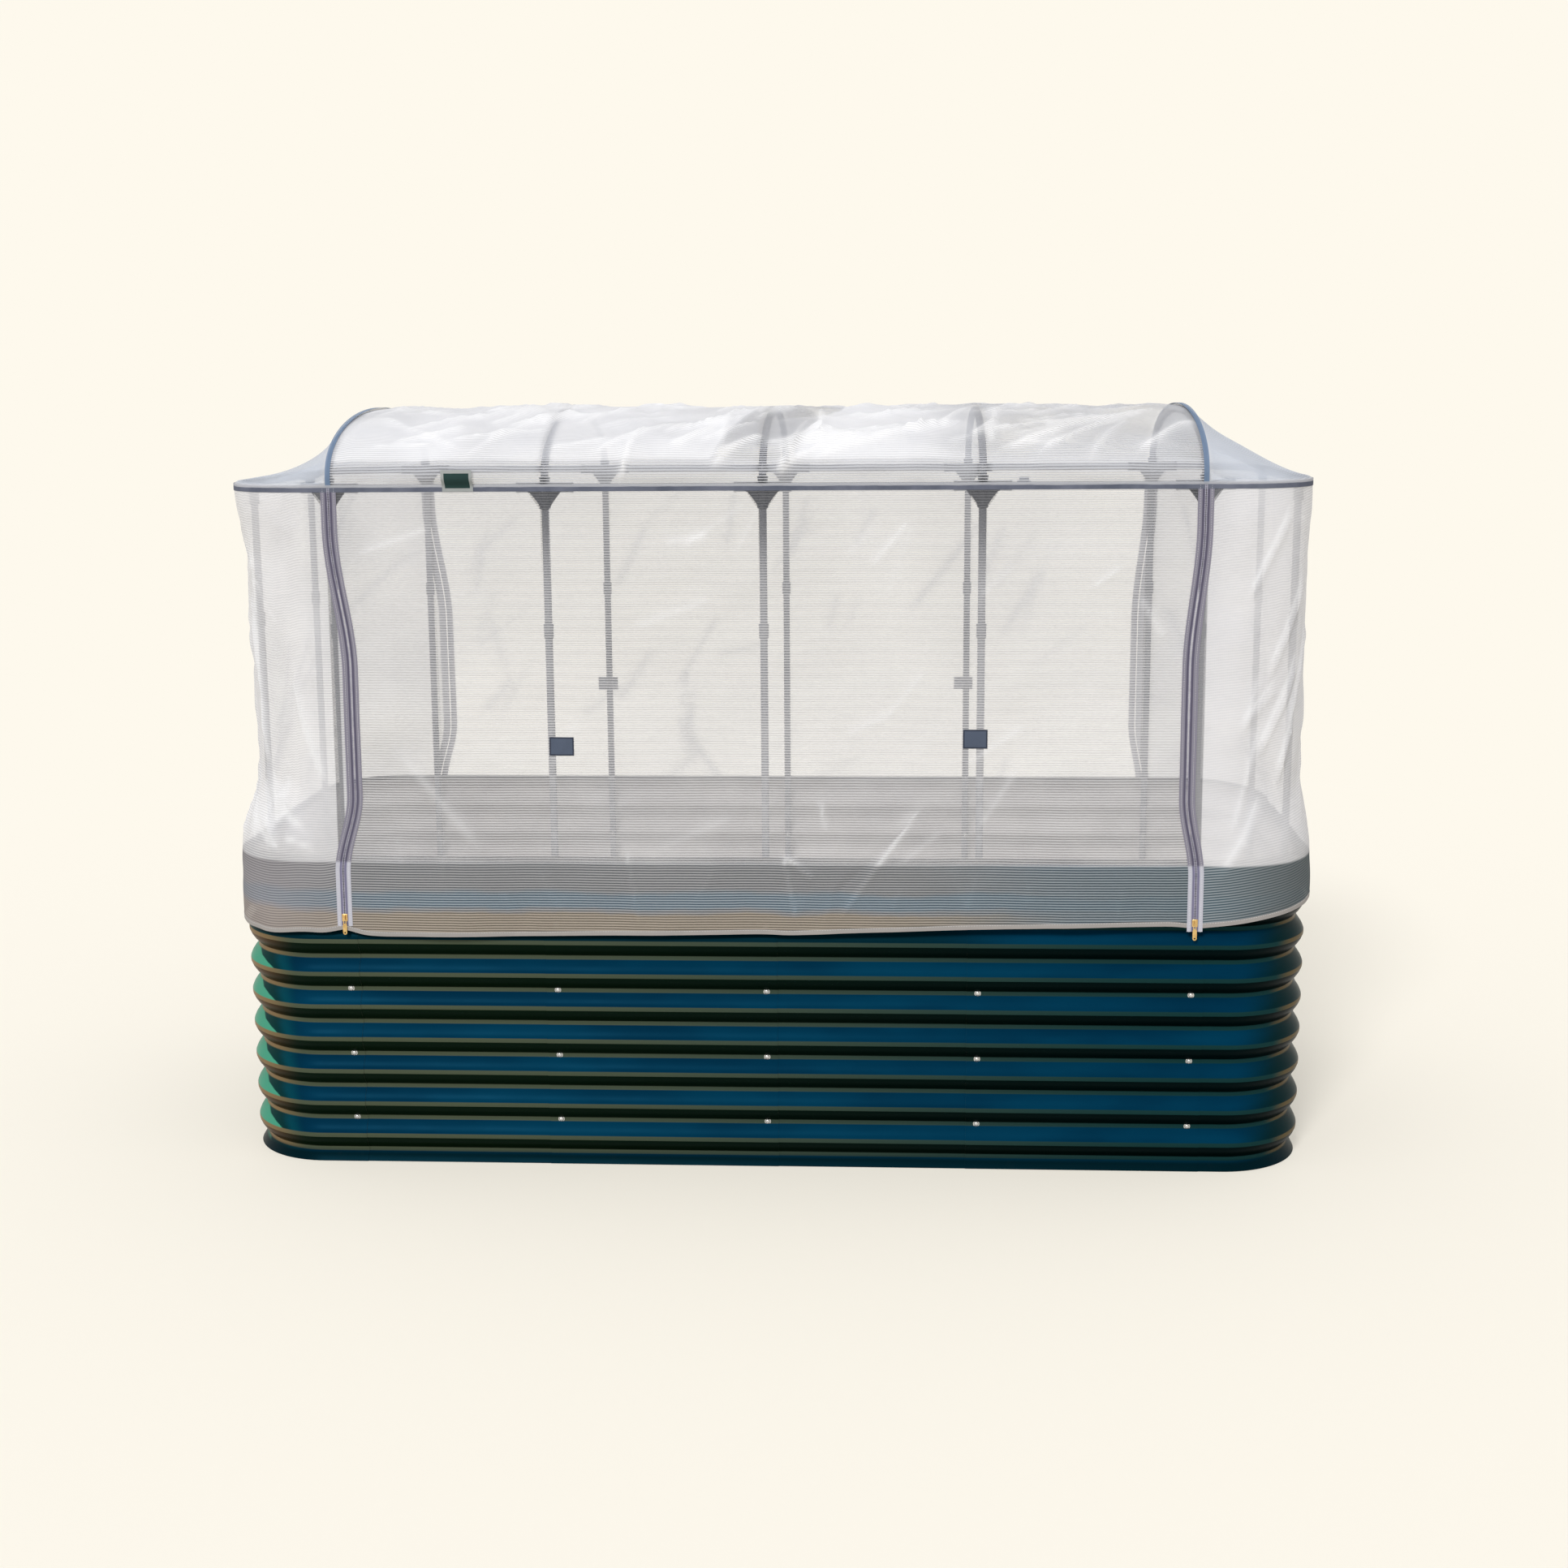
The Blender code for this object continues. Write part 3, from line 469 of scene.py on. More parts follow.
# painted reflection: the upward slopes take the blue of the sky, a dark teal at the corners and a
# brighter blue in a band near the left corner
sky_reflection = t.blend(cloudy, (0.0002, 0.023, 0.054), (0.0004, 0.036, 0.078))
sky_reflection = t.blend(corner, sky_reflection, (0.0006, 0.014, 0.016))
bright_reflection = (-normal_x).step(0.20, 0.36) * (1 - (-normal_x).step(0.36, 0.48))
sky_reflection = t.blend(bright_reflection * 0.8, sky_reflection, (0.0010, 0.055, 0.085))
# painted reflection: a bright green at the grazing front of the left end near the crests, and a
# dark teal on the rest of the left end's upward slopes
green_grazing_reflection = (-normal_x - from_crest * 5.0).step(0.47, 0.50) * front
sky_reflection = t.blend(left_end * (1 - green_grazing_reflection), sky_reflection, (0.0020, 0.040, 0.036))
sky_reflection = t.blend(green_grazing_reflection, sky_reflection, (0.060, 0.310, 0.200))
# painted shadow of the net's skirt on the steel under it, except at the right
hem_shadow = height.step(0.46, 0.52) * (1 - place_x.step(0.30, 0.60))
sky_reflection = t.blend(hem_shadow, sky_reflection, (0.0005, 0.016, 0.024))
# painted reflection on the crest and valley flats: olive at the left turning teal at the right,
# warm at the left end and a warm brown glint at the right end
flat_reflection = t.blend(rightward, (0.074, 0.090, 0.056), (0.008, 0.036, 0.036))
flat_reflection = t.blend(left_end, flat_reflection, t.blend(front, (0.090, 0.078, 0.042), (0.230, 0.150, 0.070)))
flat_reflection = t.blend(far_end * rightward, flat_reflection, (0.120, 0.085, 0.036))
# painted shade on the down slopes, with a painted warm reflection on them at the left end
down_shade_and_reflection = t.blend(rightward, (0.0028, 0.0085, 0.0020), (0.0002, 0.0030, 0.0024))
down_shade_and_reflection = t.blend(left_end * front, down_shade_and_reflection, (0.075, 0.036, 0.010))
colour = t.blend(down, sky_reflection, down_shade_and_reflection)
flat = crest.at_least(valley).at_least(1 - up.at_least(down))
colour = t.blend(flat, colour, flat_reflection)
# painted shade along the foot of the wall
colour = t.blend(1 - height.step(0.012, 0.026), colour, (0.0003, 0.009, 0.013))
dusty = t.noise(where, 14.0, 6.0, 0.65).step(0.60, 0.86)
low = 1 - height.step(0.0, 0.06)
colour = t.blend(dusty * low * 0.03, colour, (0.16, 0.13, 0.10))
fine = t.noise(where, 900.0, 2.0)
shade(t, shader, Base_Color=colour, Roughness=0.26 + 0.18 * t.noise(where, 9.0, 4.0),
      Normal=bump(t, fine, 0.05, 0.0004))

backing_coat, t, shader = material("pale backing coat", Roughness=0.5)
where = t.place()
stain = t.noise(where, 6.0, 5.0, 0.6)
colour = t.blend(stain.step(0.35, 0.75), (0.52, 0.49, 0.47), (0.40, 0.37, 0.35))
shade(t, shader, Base_Color=colour, Normal=bump(t, t.noise(where, 400.0), 0.08, 0.0005))
print("materials", len(bpy.data.materials))

# %% [markdown]
# ### Tube, connectors, rubber and small metal
# The frame is thin steel tube with a dark grey powder coat, whose grain only shows as a
# slightly broken highlight. The tees are moulded, so they are duller and have a finer
# grain. Bolts and the inner rods are zinc plated.

# %% Frame and hardware finishes
def grained(name, dark, light, scale, roughness, grain, metallic=0.0):
    """A coat or plating whose colour and gloss vary a little over the piece."""
    made, t, shader = material(name, Metallic=metallic)
    where = t.place()
    mottle = t.noise(where, scale, 4.0, 0.6)
    shade(t, shader, Base_Color=t.blend(mottle.step(0.3, 0.7), dark, light),
          Roughness=roughness + 0.14 * mottle,
          Normal=bump(t, t.noise(where, scale * 60, 2.0), grain, 0.0004))
    return made


tube_coat = grained("dark grey tube coat", (0.155, 0.160, 0.182), (0.200, 0.205, 0.228),
                    14.0, 0.30, 0.15)
tee_plastic = grained("moulded grey connector", (0.012, 0.014, 0.020), (0.022, 0.025, 0.034),
                      20.0, 0.50, 0.30)
rubber = grained("black rubber edging", (0.016, 0.017, 0.017), (0.026, 0.027, 0.027),
                 30.0, 0.60, 0.25)
zinc = grained("zinc plated steel", (0.48, 0.49, 0.50), (0.66, 0.66, 0.66), 90.0, 0.24, 0.20, 1.0)
gold = grained("gold zip metal", (0.62, 0.40, 0.15), (0.80, 0.57, 0.26), 120.0, 0.22, 0.15, 1.0)
clip_plastic = grained("slate clip", (0.085, 0.110, 0.165), (0.110, 0.140, 0.200), 60.0, 0.40, 0.2)

# %% [markdown]
# ### Net
# The cover is a knitted mesh: dense white yarns in level rows, open rows between them and
# fine links across. The rows are drawn as transparency over the piece's own UV map, whose
# units are metres of cloth, so they bend with every fold. A dense row hides what is behind
# it and an open row shows it, which gives the milky, finely lined look. A second UV map says
# where the cloth is folded: a ridge has two layers, so it hides more, and it is painted whiter,
# partly for the second layer and partly as a painted highlight. The net is painted darker as
# shade high on the walls, on the roof where the net is thin, and where it lies on the frame.
# Below the rim no light comes through from behind, so the net is painted grey there as shade.
# A painted blue belt and a painted sandy belt there stand for the reflections of the two sides
# of the topmost wave shining through.

# %% Net finishes
ROW_PITCH = 0.0056
LINK_PITCH = 0.0030
SHADE_TOP = WALL_HEIGHT - 0.002
WEB_DROP, WEB_HEIGHT, WEB_REACH = 0.046, 0.040, 0.028
POST_SHADE = (1.26, 1.43)


def threads_along(way, pitch):
    """0 between the threads and 1 on them, for threads that follow each other that way."""
    return (way * (2 * math.pi / pitch)).cos() * 0.5 + 0.5


def below_rim(t):
    """1 where the cloth lies on the outside of the bed, 0 above its rim."""
    height = t.parts(t.place())[2]
    return 1 - height.step(SHADE_TOP - 0.008, SHADE_TOP)


def on_the_frame(place_x, height):
    """1 where the net touches a tee or the top of a post, so that no light comes from behind."""
    from_post = abs((place_x / SEAM_SPACING + 0.5) % 1.0 - 0.5) * SEAM_SPACING
    spread = TUBE + ((height - RAIL + WEB_DROP) / WEB_HEIGHT).clamped() * WEB_REACH
    near_top = height.step(*POST_SHADE)
    corner_post = abs(place_x).step(0.80, 0.86)
    share = near_top + (1 - near_top) * corner_post * 0.80
    below_rail = 1 - height.step(RAIL - 0.004, RAIL)
    return (spread - from_post).step(-0.002, 0.001) * share * below_rail


def lined_with_steel(t, cloth, dense):
    """The net's colour where it lies on the bed: painted grey as shade, with painted reflections
    of the topmost wave in belts, darker and tealer towards the right as shade and reflection.
    """
    place_x, _, height = t.parts(t.place())
    level = height + (t.noise(cloth, 5.0, 3.0, 0.6) - 0.5) * 0.040
    to_right = place_x.step(0.30, 0.70)
    # painted reflections of the topmost wave's two sides seen through the net: a blue belt, and a
    # warm belt at the left
    blue_reflection_belt = (level.step(0.580, 0.590) * (1 - level.step(0.612, 0.630))).at_least(to_right * 0.7)
    warm_reflection_belt = (1 - level.step(0.570, 0.580)) * (1 - to_right)
    yarn = t.blend(blue_reflection_belt, (0.47, 0.465, 0.475), (0.41, 0.46, 0.51))
    yarn = t.blend(warm_reflection_belt, yarn, (0.54, 0.47, 0.40))
    gap = t.blend(blue_reflection_belt, (0.165, 0.175, 0.190), (0.095, 0.150, 0.200))
    gap = t.blend(warm_reflection_belt, gap, (0.220, 0.190, 0.150))
    # painted darker and tealer towards the right, as shade and the steel's teal reflection, and
    # darker still at the right end
    gap = t.blend(place_x.step(0.1, 1.1) * 0.6, gap, (0.045, 0.080, 0.090))
    yarn = t.blend(place_x.step(0.1, 1.1) * 0.5, yarn, (0.22, 0.27, 0.29))
    left = 1 - place_x.step(-1.15, -0.80)
    steady = t.blend(left * 0.5, t.blend(dense, gap, yarn), (0.34, 0.31, 0.33))
    return t.blend(place_x.step(0.92, 1.12) * 0.6, steady, (0.105, 0.115, 0.115))


def net_material(name, open_row, dense_row, colour, shadow_colour, shade_top, thin_shade):
    """Striped netting. open_row and dense_row are how much such a row covers, and the last
    two how much painted shade the net gets high on the walls and where it is thin."""
    made, t, shader = material(name, Roughness=0.85, Specular_IOR_Level=0.15)
    cloth = t.map("cloth")
    along, across, _ = t.parts(cloth)
    wander = t.noise(cloth, 9.0, 3.0) - 0.5
    rows = threads_along(across + wander * 0.0016, ROW_PITCH)
    links = threads_along(along, LINK_PITCH)
    dense = rows.step(0.20, 0.70)
    uneven = t.noise(cloth, 5.0, 4.0, 0.6, stretch=(1.0, 1.6, 1.0)) - 0.5
    fold, cloudy, _ = t.parts(t.map("fold"))
    cover = open_row + (dense_row - open_row) * dense + links * (1 - dense) * 0.06
    cover = cover + uneven * 0.12 + fold * 0.22 + cloudy * (0.30 - 0.14 * dense)
    low = below_rim(t)
    cover = cover + low * (0.46 - 0.12 * dense)
    place_x, _, height = t.parts(t.place())
    high = height.step(0.80, 1.40) * (1 - height.step(RAIL + 0.005, RAIL + 0.020))
    high = high * (1 - abs(place_x).step(0.90, 1.00))
    tint = t.blend(dense * 0.4 + uneven * 0.8 + 0.35, shadow_colour, colour)
    # painted shade: grey high on the walls, and grey where the roof net is thin
    tint = t.blend(high * shade_top, tint, (0.38, 0.39, 0.43))
    tint = t.blend((1 - cloudy.step(0.0, 0.7)) * thin_shade, tint, (0.78, 0.79, 0.84))
    on_hip = height.step(RAIL + 0.004, RAIL + 0.012) * abs(place_x).step(0.91, 0.93)
    tint = t.blend(on_hip, tint, (0.74, 0.78, 0.86))
    # ridges painted whiter: partly the second layer of cloth, partly a painted highlight
    tint = t.blend(fold, tint, (0.98, 0.98, 1.0))
    # painted shade where the net lies on a tee or post top
    tint = t.blend(on_the_frame(place_x, height) * 0.70, tint, (0.040, 0.046, 0.066))
    tint = t.blend(low, tint, lined_with_steel(t, cloth, dense))
    shade(t, shader, Base_Color=tint, Alpha=cover.clamped(), Normal=bump(t, dense, 0.25, 0.0006))
    return made


wall_net = net_material("white wall net", 0.115, 0.345, (1.00, 0.99, 1.00), (0.91, 0.91, 0.96),
                        shade_top=0.26, thin_shade=0.0)
roof_netting = net_material("white roof net", 0.20, 0.52, (0.98, 0.98, 1.00), (0.86, 0.87, 0.92),
                            shade_top=0.0, thin_shade=1.0)


THREAD_PITCH = 0.0011
TAPE_SHINE = {"Roughness": 0.8, "Specular_IOR_Level": 0.2}


def woven(name, colour, line_colour, alpha):
    """A close woven tape, with its threads in the UV map's directions."""
    made, t, shader = material(name, Alpha=alpha, **TAPE_SHINE)
    cloth = t.map("cloth")
    along, across, _ = t.parts(cloth)
    threads = threads_along(along, THREAD_PITCH) * threads_along(across, THREAD_PITCH * 1.3)
    worn = t.noise(cloth, 30.0, 4.0, 0.6)
    mixed = t.blend(threads * 0.6 + worn * 0.5 - 0.1, line_colour, colour)
    shade(t, shader, Base_Color=mixed, Normal=bump(t, threads, 0.4, 0.0004))
    return made


def zip_tape_material():
    """A tape with a dark lilac core beside the coil and a paler outer half. Both are painted
    lighter where the tape lies on the steel as painted sunlight, and on the rear zips as painted
    light."""
    made, t, shader = material("lilac zip tape", Alpha=0.94, **TAPE_SHINE)
    cloth = t.map("cloth")
    along, across, _ = t.parts(cloth)
    outer = across.step(0.0056, 0.0066)
    low = below_rim(t)
    ribs = threads_along(along, 2 * THREAD_PITCH)
    rear = t.parts(t.place())[1].step(-0.1, 0.1)
    # the rear zips take a lighter copy of these colours as painted light, and on the steel both are
    # painted lighter as sunlight
    core = t.blend(rear, (0.120, 0.110, 0.165), (0.44, 0.42, 0.48))
    core = t.blend(low, core, (0.225, 0.215, 0.330))
    side = t.blend(rear, (0.290, 0.275, 0.340), (0.62, 0.60, 0.64))
    side = t.blend(low, side, (0.62, 0.62, 0.70))
    colour = t.blend(outer, core, side)
    colour = t.blend(ribs * 0.18, colour, (0.05, 0.05, 0.08))
    shade(t, shader, Base_Color=colour, Normal=bump(t, ribs, 0.3, 0.0004))
    return made


def rail_tape_material():
    """The tape along the rail: slate where it wraps the tube and pale on its upper edge."""
    made, t, shader = material("slate blue rail tape", **TAPE_SHINE)
    cloth = t.map("cloth")
    along, across, _ = t.parts(cloth)
    upper = (across + (t.noise(cloth, 14.0, 3.0) - 0.5) * 0.004).step(0.0086, 0.0104)
    worn = t.noise(cloth, 9.0, 4.0, 0.6).step(0.3, 0.7)
    slate = t.blend(worn, (0.120, 0.135, 0.185), (0.200, 0.215, 0.280))
    colour = t.blend(upper, slate, (0.62, 0.63, 0.68))
    weft = threads_along(across, 0.0014)
    shade(t, shader, Base_Color=colour, Alpha=0.82 - 0.34 * upper,
          Normal=bump(t, weft, 0.4, 0.0004))
    return made


zip_tape = zip_tape_material()
hem_tape = woven("grey hem binding", (0.50, 0.46, 0.43), (0.36, 0.34, 0.33), 0.92)
rail_tape = rail_tape_material()
arch_tape = woven("blue arch tape", (0.270, 0.370, 0.540), (0.190, 0.280, 0.430), 0.58)
coil_nylon = grained("lilac zip coil", (0.36, 0.345, 0.44), (0.50, 0.485, 0.58), 60.0, 0.35, 0.2)
thread = grained("white thread", (0.70, 0.70, 0.72), (0.85, 0.85, 0.86), 80.0, 0.6, 0.2)
patch_cloth = woven("slate patch", (0.115, 0.140, 0.200), (0.075, 0.095, 0.140), 1.0)
label_cloth = woven("green label", (0.026, 0.066, 0.062), (0.016, 0.042, 0.040), 1.0)
label_edge = woven("grey label edge", (0.46, 0.48, 0.48), (0.34, 0.36, 0.36), 1.0)
patch_edge = woven("grey patch edge", (0.045, 0.055, 0.085), (0.030, 0.038, 0.062), 1.0)
print("materials", len(bpy.data.materials))

# %% [markdown]
# ## Corrugated panels
# A panel is one wave profile carried along the plan from seam to seam, which is exactly
# what *Curve to Mesh* does. The tree draws the profile from its rule: points in pairs at
# each crest and valley, a short flat between the two of a pair, and a *Fillet Curve* that
# rolls the corners as the press does. The flanks swell a little between two corners. The
# path is an ordinary curve, so the same tree makes flat and rounded panels. Solidify then
# gives the sheet its thickness and puts the backing coat on the inner side.

# %% Corrugation tree
WAVE_PAIRS = round((TOP_CREST - FIRST_VALLEY) / (WAVE_PITCH / 2)) + 1
PROFILE_POINTS = 2 * WAVE_PAIRS + 3
PRESS_RADIUS, FLANK_SWELL = 0.004, 0.003
t, given = geometry_tree("Corrugated sheet", {
    "Height": "Float", "Pitch": "Float", "Depth": "Float", "Flat": "Float", "First valley": "Float",
    "Rim band": "Float", "Corner": "Float", "Swell": "Float", "Material": "Material"})
pitch, wave_flat, first_valley = (given.out(x) for x in ("Pitch", "Flat", "First valley"))
band_foot = given.out("Height") - given.out("Rim band")
half_pitch = pitch / 2


def flank(level):
    """0 on the flat of a valley, 1 on the flat of a crest, and the share of the way between."""
    phase = (level - first_valley + half_pitch) % pitch
    return ((abs(phase - half_pitch) - wave_flat / 2) / (half_pitch - wave_flat)).clamped()


index = t.node("GeometryNodeInputIndex") + 1
pair = (index / 2).floor() - 1
side = index - 2 * pair - 2.5
level = (first_valley + pair * pitch / 2 + side * wave_flat).at_least(0.0)
depth = given.out("Depth") * (1 - flank(level))
top = index > PROFILE_POINTS - 1.5
rim_level = given.out("Height") - given.out("Rim band") * (PROFILE_POINTS - index)
level = level * (1 - top) + top * rim_level
depth = depth * (1 - top) + top * given.out("Depth")
profile = t.node("GeometryNodeCurvePrimitiveLine")
profile = t.node("GeometryNodeResampleCurve", Curve=profile, Count=PROFILE_POINTS)
profile = t.node("GeometryNodeSetPosition", Geometry=profile,
                 Position=t.joined(-depth, -level, 0.0))
profile = t.node("GeometryNodeFilletCurve", mode="POLY", Curve=profile, Radius=given.out("Corner"),
                 Limit_Radius=True, Count=2)
profile = t.node("GeometryNodeSubdivideCurve", Curve=profile, Cuts=2)
level = 0 - t.parts(t.node("GeometryNodeInputPosition"))[1]
rise = flank(level)
under_band = ((band_foot - level) / 0.02).clamped()
swell = given.out("Swell") * 4 * rise * (1 - rise) * under_band
profile = t.node("GeometryNodeSetPosition", Geometry=profile, Offset=t.joined(swell, 0.0, 0.0))
sweep = t.node("GeometryNodeCurveToMesh", Curve=given, Profile_Curve=profile)
end_tree(t, sweep, given.out("Material"))
corrugation = t


# %% Panels round the bed
def wall_panel(name, start, end, face, *nodes):
    stations = bends(start - SEAM_LAP, end + SEAM_LAP)
    x, y, _, _ = plan(stations, face)
    path = line_object(name, np.c_[x, y, np.zeros(len(x))])
    path.data.twist_mode = "Z_UP"
    panel = grown(name, path, corrugation, Height=WALL_HEIGHT, Pitch=WAVE_PITCH, Depth=WAVE_DEPTH,
                  Flat=WAVE_FLAT, First_valley=FIRST_VALLEY, Rim_band=RIM_BAND, Corner=PRESS_RADIUS,
                  Swell=FLANK_SWELL, Material=green_steel)
    panel.data.materials.append(backing_coat)
    wall = facing_out(panel).modifiers.new("Wall", "SOLIDIFY")
    wall.thickness, wall.offset, wall.material_offset = SHEET, -1.0, 1
    piece = plain(name, panel)
    return finished(piece, "bed_and_frame", "green_steel", *nodes)


panel_names = [f"front_panel_{k}" for k in (1, 2, 3, 4)]
panel_names += ["right_front_corner", "right_end_panel", "right_rear_corner"]
panel_names += [f"rear_panel_{k}" for k in (4, 3, 2, 1)]
panel_names += ["left_rear_corner", "left_end_panel", "left_front_corner"]
closed_ring = [*seam_stations, 4 * QUARTER + SEAM_X[0]]
panels = []
for k, name in enumerate(panel_names):
    # every other panel lies inside its two neighbours at the laps
    face = CORNER_RADIUS - (k % 2 == 0) * LAP_STEP
    panels.append(wall_panel(name + "_pressed", closed_ring[k], closed_ring[k + 1], face, name))
print("panels", len(panels), "faces in one", len(panels[0].data.polygons))

# %% [markdown]
# ## Turned and swept shapes
# Most of the frame is round tube, so three makers cover it: quads through a grid of points,
# a profile turned about an upright axis, and a geometry tree that sweeps a circle along a
# path. The grid maker also writes the *cloth* UV map, in metres, that the nets and tapes
# read, and the *fold* map, whose two values are how much a net is folded and how dense it is.

# %% Grids of quads
def quad_object(name, points, finishes, round_trip=False, closed_section=False, cloth=None,
                fold=None):
    """Quads through a grid of points. Faces look outwards where the first index runs
    anticlockwise round the bed and the second runs upwards."""
    points = np.asarray(points, float)
    along, across = points.shape[:2]
    rings, strips = along - (not round_trip), across - (not closed_section)
    a, b = np.meshgrid(np.arange(rings), np.arange(strips), indexing="ij")
    a_next, b_next = (a + 1) % along, (b + 1) % across
    corners = [a * across + b, a_next * across + b, a_next * across + b_next, a * across + b_next]
    corners = np.stack(corners, -1).reshape(-1, 4)
    mesh = bpy.data.meshes.new(name)
    mesh.from_pydata(points.reshape(-1, 3).tolist(), [], corners.tolist())
    for finish in finishes:
        mesh.materials.append(finish)
    used = np.empty(len(mesh.loops), np.int32)
    mesh.loops.foreach_get("vertex_index", used)
    for title, values in (("cloth", cloth), ("fold", fold)):
        if values is not None:
            layer = mesh.uv_layers.new(name=title)
            layer.data.foreach_set("uv", np.asarray(values, float).reshape(-1, 2)[used].ravel())
    return linked(name, mesh)


def swept(name, stations, section, finish):
    """A closed section of (radius, height) points carried all the way round the plan."""
    radius, height = np.array(section, float).T
    x, y, _, _ = plan(np.array(stations)[:, None], radius[None, :])
    points = np.stack([x, y, np.broadcast_to(height, x.shape)], -1)
    return quad_object(name, points, [finish], round_trip=True, closed_section=True)


# %% Turned profiles
TURNED_SIDES = 32


def turned(name, section, finish):
    """A (radius, height) profile turned about the z axis."""
    radius, height = np.array(section, float).T
    angle = np.arange(TURNED_SIDES) * 2 * math.pi / TURNED_SIDES
    points = np.stack([np.outer(np.cos(angle), radius), np.outer(np.sin(angle), radius),
                       np.broadcast_to(height, (TURNED_SIDES, len(height)))], -1)
    return plain(name, quad_object(name, points, [finish], round_trip=True))


def moved(name, source, offset, turn=0.0):
    """A copy of a piece, turned about z and moved, with its place in its mesh."""
    mesh = source.data.copy()
    mesh.transform(Matrix.Translation(offset) @ Matrix.Rotation(turn, 4, "Z"))
    return linked(name, mesh)


def joined(name, pieces):
    """One object made of several."""
    cells = bmesh.new()
    finishes = []
    for piece in pieces:
        start = len(cells.faces)
        cells.from_mesh(piece.data)
        cells.faces.ensure_lookup_table()
        for finish in piece.data.materials:
            if finish not in finishes:
                finishes.append(finish)
        places = [finishes.index(finish) for finish in piece.data.materials]
        for face in cells.faces[start:]:
            face.material_index = places[face.material_index]
        bpy.data.objects.remove(piece)
    mesh = bpy.data.meshes.new(name)
    cells.to_mesh(mesh)
    cells.free()
    for finish in finishes:
        mesh.materials.append(finish)
    return linked(name, mesh)


# %% Tube tree
t, given = geometry_tree("Tube along a path", {
    "Radius": "Float", "Sides": "Int", "Material": "Material"})
circle = t.node("GeometryNodeCurvePrimitiveCircle", Resolution=given.out("Sides"),
                Radius=given.out("Radius"))
sweep = t.node("GeometryNodeCurveToMesh", Curve=given, Profile_Curve=circle, Fill_Caps=True)
end_tree(t, sweep, given.out("Material"))
tube_tree = t


def tube(name, points, finish=tube_coat, radius=TUBE, sides=28):
    """A round tube along the points, its caps merged and its faces outwards."""
    path = line_object(name, points)
    made = grown(name, path, tube_tree, Radius=radius, Sides=sides, Material=finish)

    def closed_tube(cells):
        bmesh.ops.remove_doubles(cells, verts=cells.verts, dist=MERGE)
        bmesh.ops.recalc_face_normals(cells, faces=cells.faces)

    edited(made.data, closed_tube)
    return made


# %% [markdown]
# ## Rubber edging
# A soft channel is pushed over the cut edge of the sheet all the way round. Its section is
# drawn once, with a rounded crown, and carried round the plan.

# %% Edging
EDGING_DEPTH, CROWN_RISE = 0.008, 0.002
seat = WALL_HEIGHT + PLAY
edging_foot = seat - EDGING_DEPTH
slot_out, slot_in = VALLEY_FACE + PLAY, VALLEY_INSIDE - PLAY
edging_out = slot_out + EDGING_WALL
crown_middle, crown_half = (edging_out + EDGING_INSIDE) / 2, (edging_out - EDGING_INSIDE) / 2
crown = [(crown_middle + crown_half * math.cos(a), seat + CROWN_RISE * math.sin(a))
         for a in np.linspace(0, math.pi, 9)]
section = [(edging_out, edging_foot), *crown, (EDGING_INSIDE, edging_foot), (slot_in, edging_foot),
           (slot_in, seat), (slot_out, seat), (slot_out, edging_foot)]
edging = swept("rim_edging_soft", bends(0.0, 4 * QUARTER)[:-1], section, rubber)
finished(edging, "bed_and_frame", "edging", "rim_edging")
print("edging faces", len(edging.data.polygons))

# %% [markdown]
# ## Tube frame
# Rails, hoops and posts are the same tube. The front and rear rails are straight, the end
# rails close the ring round the rounded ends, and each hoop is half an ellipse whose feet
# drop straight into their sockets.

# %% Rails, hoops and braces
def arch(turn, offset=0.0):
    """y and z across the arch at an angle from its front foot (0) to its rear foot (pi)."""
    across, up = np.cos(turn), np.sin(turn)
    slope = np.hypot(ARCH_RISE * across, ARCH_HALF * up)
    y = -ARCH_HALF * across - ARCH_RISE * across / slope * offset
    return y, ARCH_FOOT + ARCH_RISE * up + ARCH_HALF * up / slope * offset


rail_reach = LONG_HALF - PLAY / 2
front_rail, rear_tube = (
    tube(row + "_rail_tube", [(-rail_reach, y, RAIL), (rail_reach, y, RAIL)])
    for row, y in (("front", -ARCH_HALF), ("rear", ARCH_HALF)))
finished(front_rail, "bed_and_frame", "tube", "front_rail")
for side, turn in (("right", 0.0), ("left", 2 * QUARTER)):
    stations = bends(turn + rail_reach + PLAY, turn + 2 * QUARTER - rail_reach - PLAY)
    x, y, _, _ = plan(stations, RING)
    piece = tube(side + "_end_rail_tube", np.c_[x, y, np.full(len(x), RAIL)])
    finished(piece, "bed_and_frame", "tube", side + "_end_rail")

hoop_foot = RAIL + TUBE + PLAY + SOCKET_STOP + PLAY
arch_y, arch_z = arch(np.linspace(0, math.pi, 49))
for k, x in enumerate(SEAM_X, 1):
    points = [(x, -ARCH_HALF, hoop_foot), *zip([x] * 49, arch_y, arch_z), (x, ARCH_HALF, hoop_foot)]
    finished(tube(f"hoop_{k}_tube", points), "bed_and_frame", "tube", f"hoop_{k}")
for side, x in (("left", -SEAM_SPACING), ("right", SEAM_SPACING)):
    reach, level = ARCH_HALF - TUBE - PLAY, FIRST_VALLEY + 5 * WAVE_PITCH
    rod = tube(side + "_cross_brace_rod", [(x, -reach, level), (x, reach, level)], zinc, 0.004, 20)
    finished(rod, "bed_and_frame", "rod", side + "_cross_brace")

# %% Posts with couplers
COUPLER_RADIUS, COUPLER_HALF = 0.0102, 0.015
socket_floor = RAIL - (TUBE + PLAY) - SOCKET_STOP - PLAY


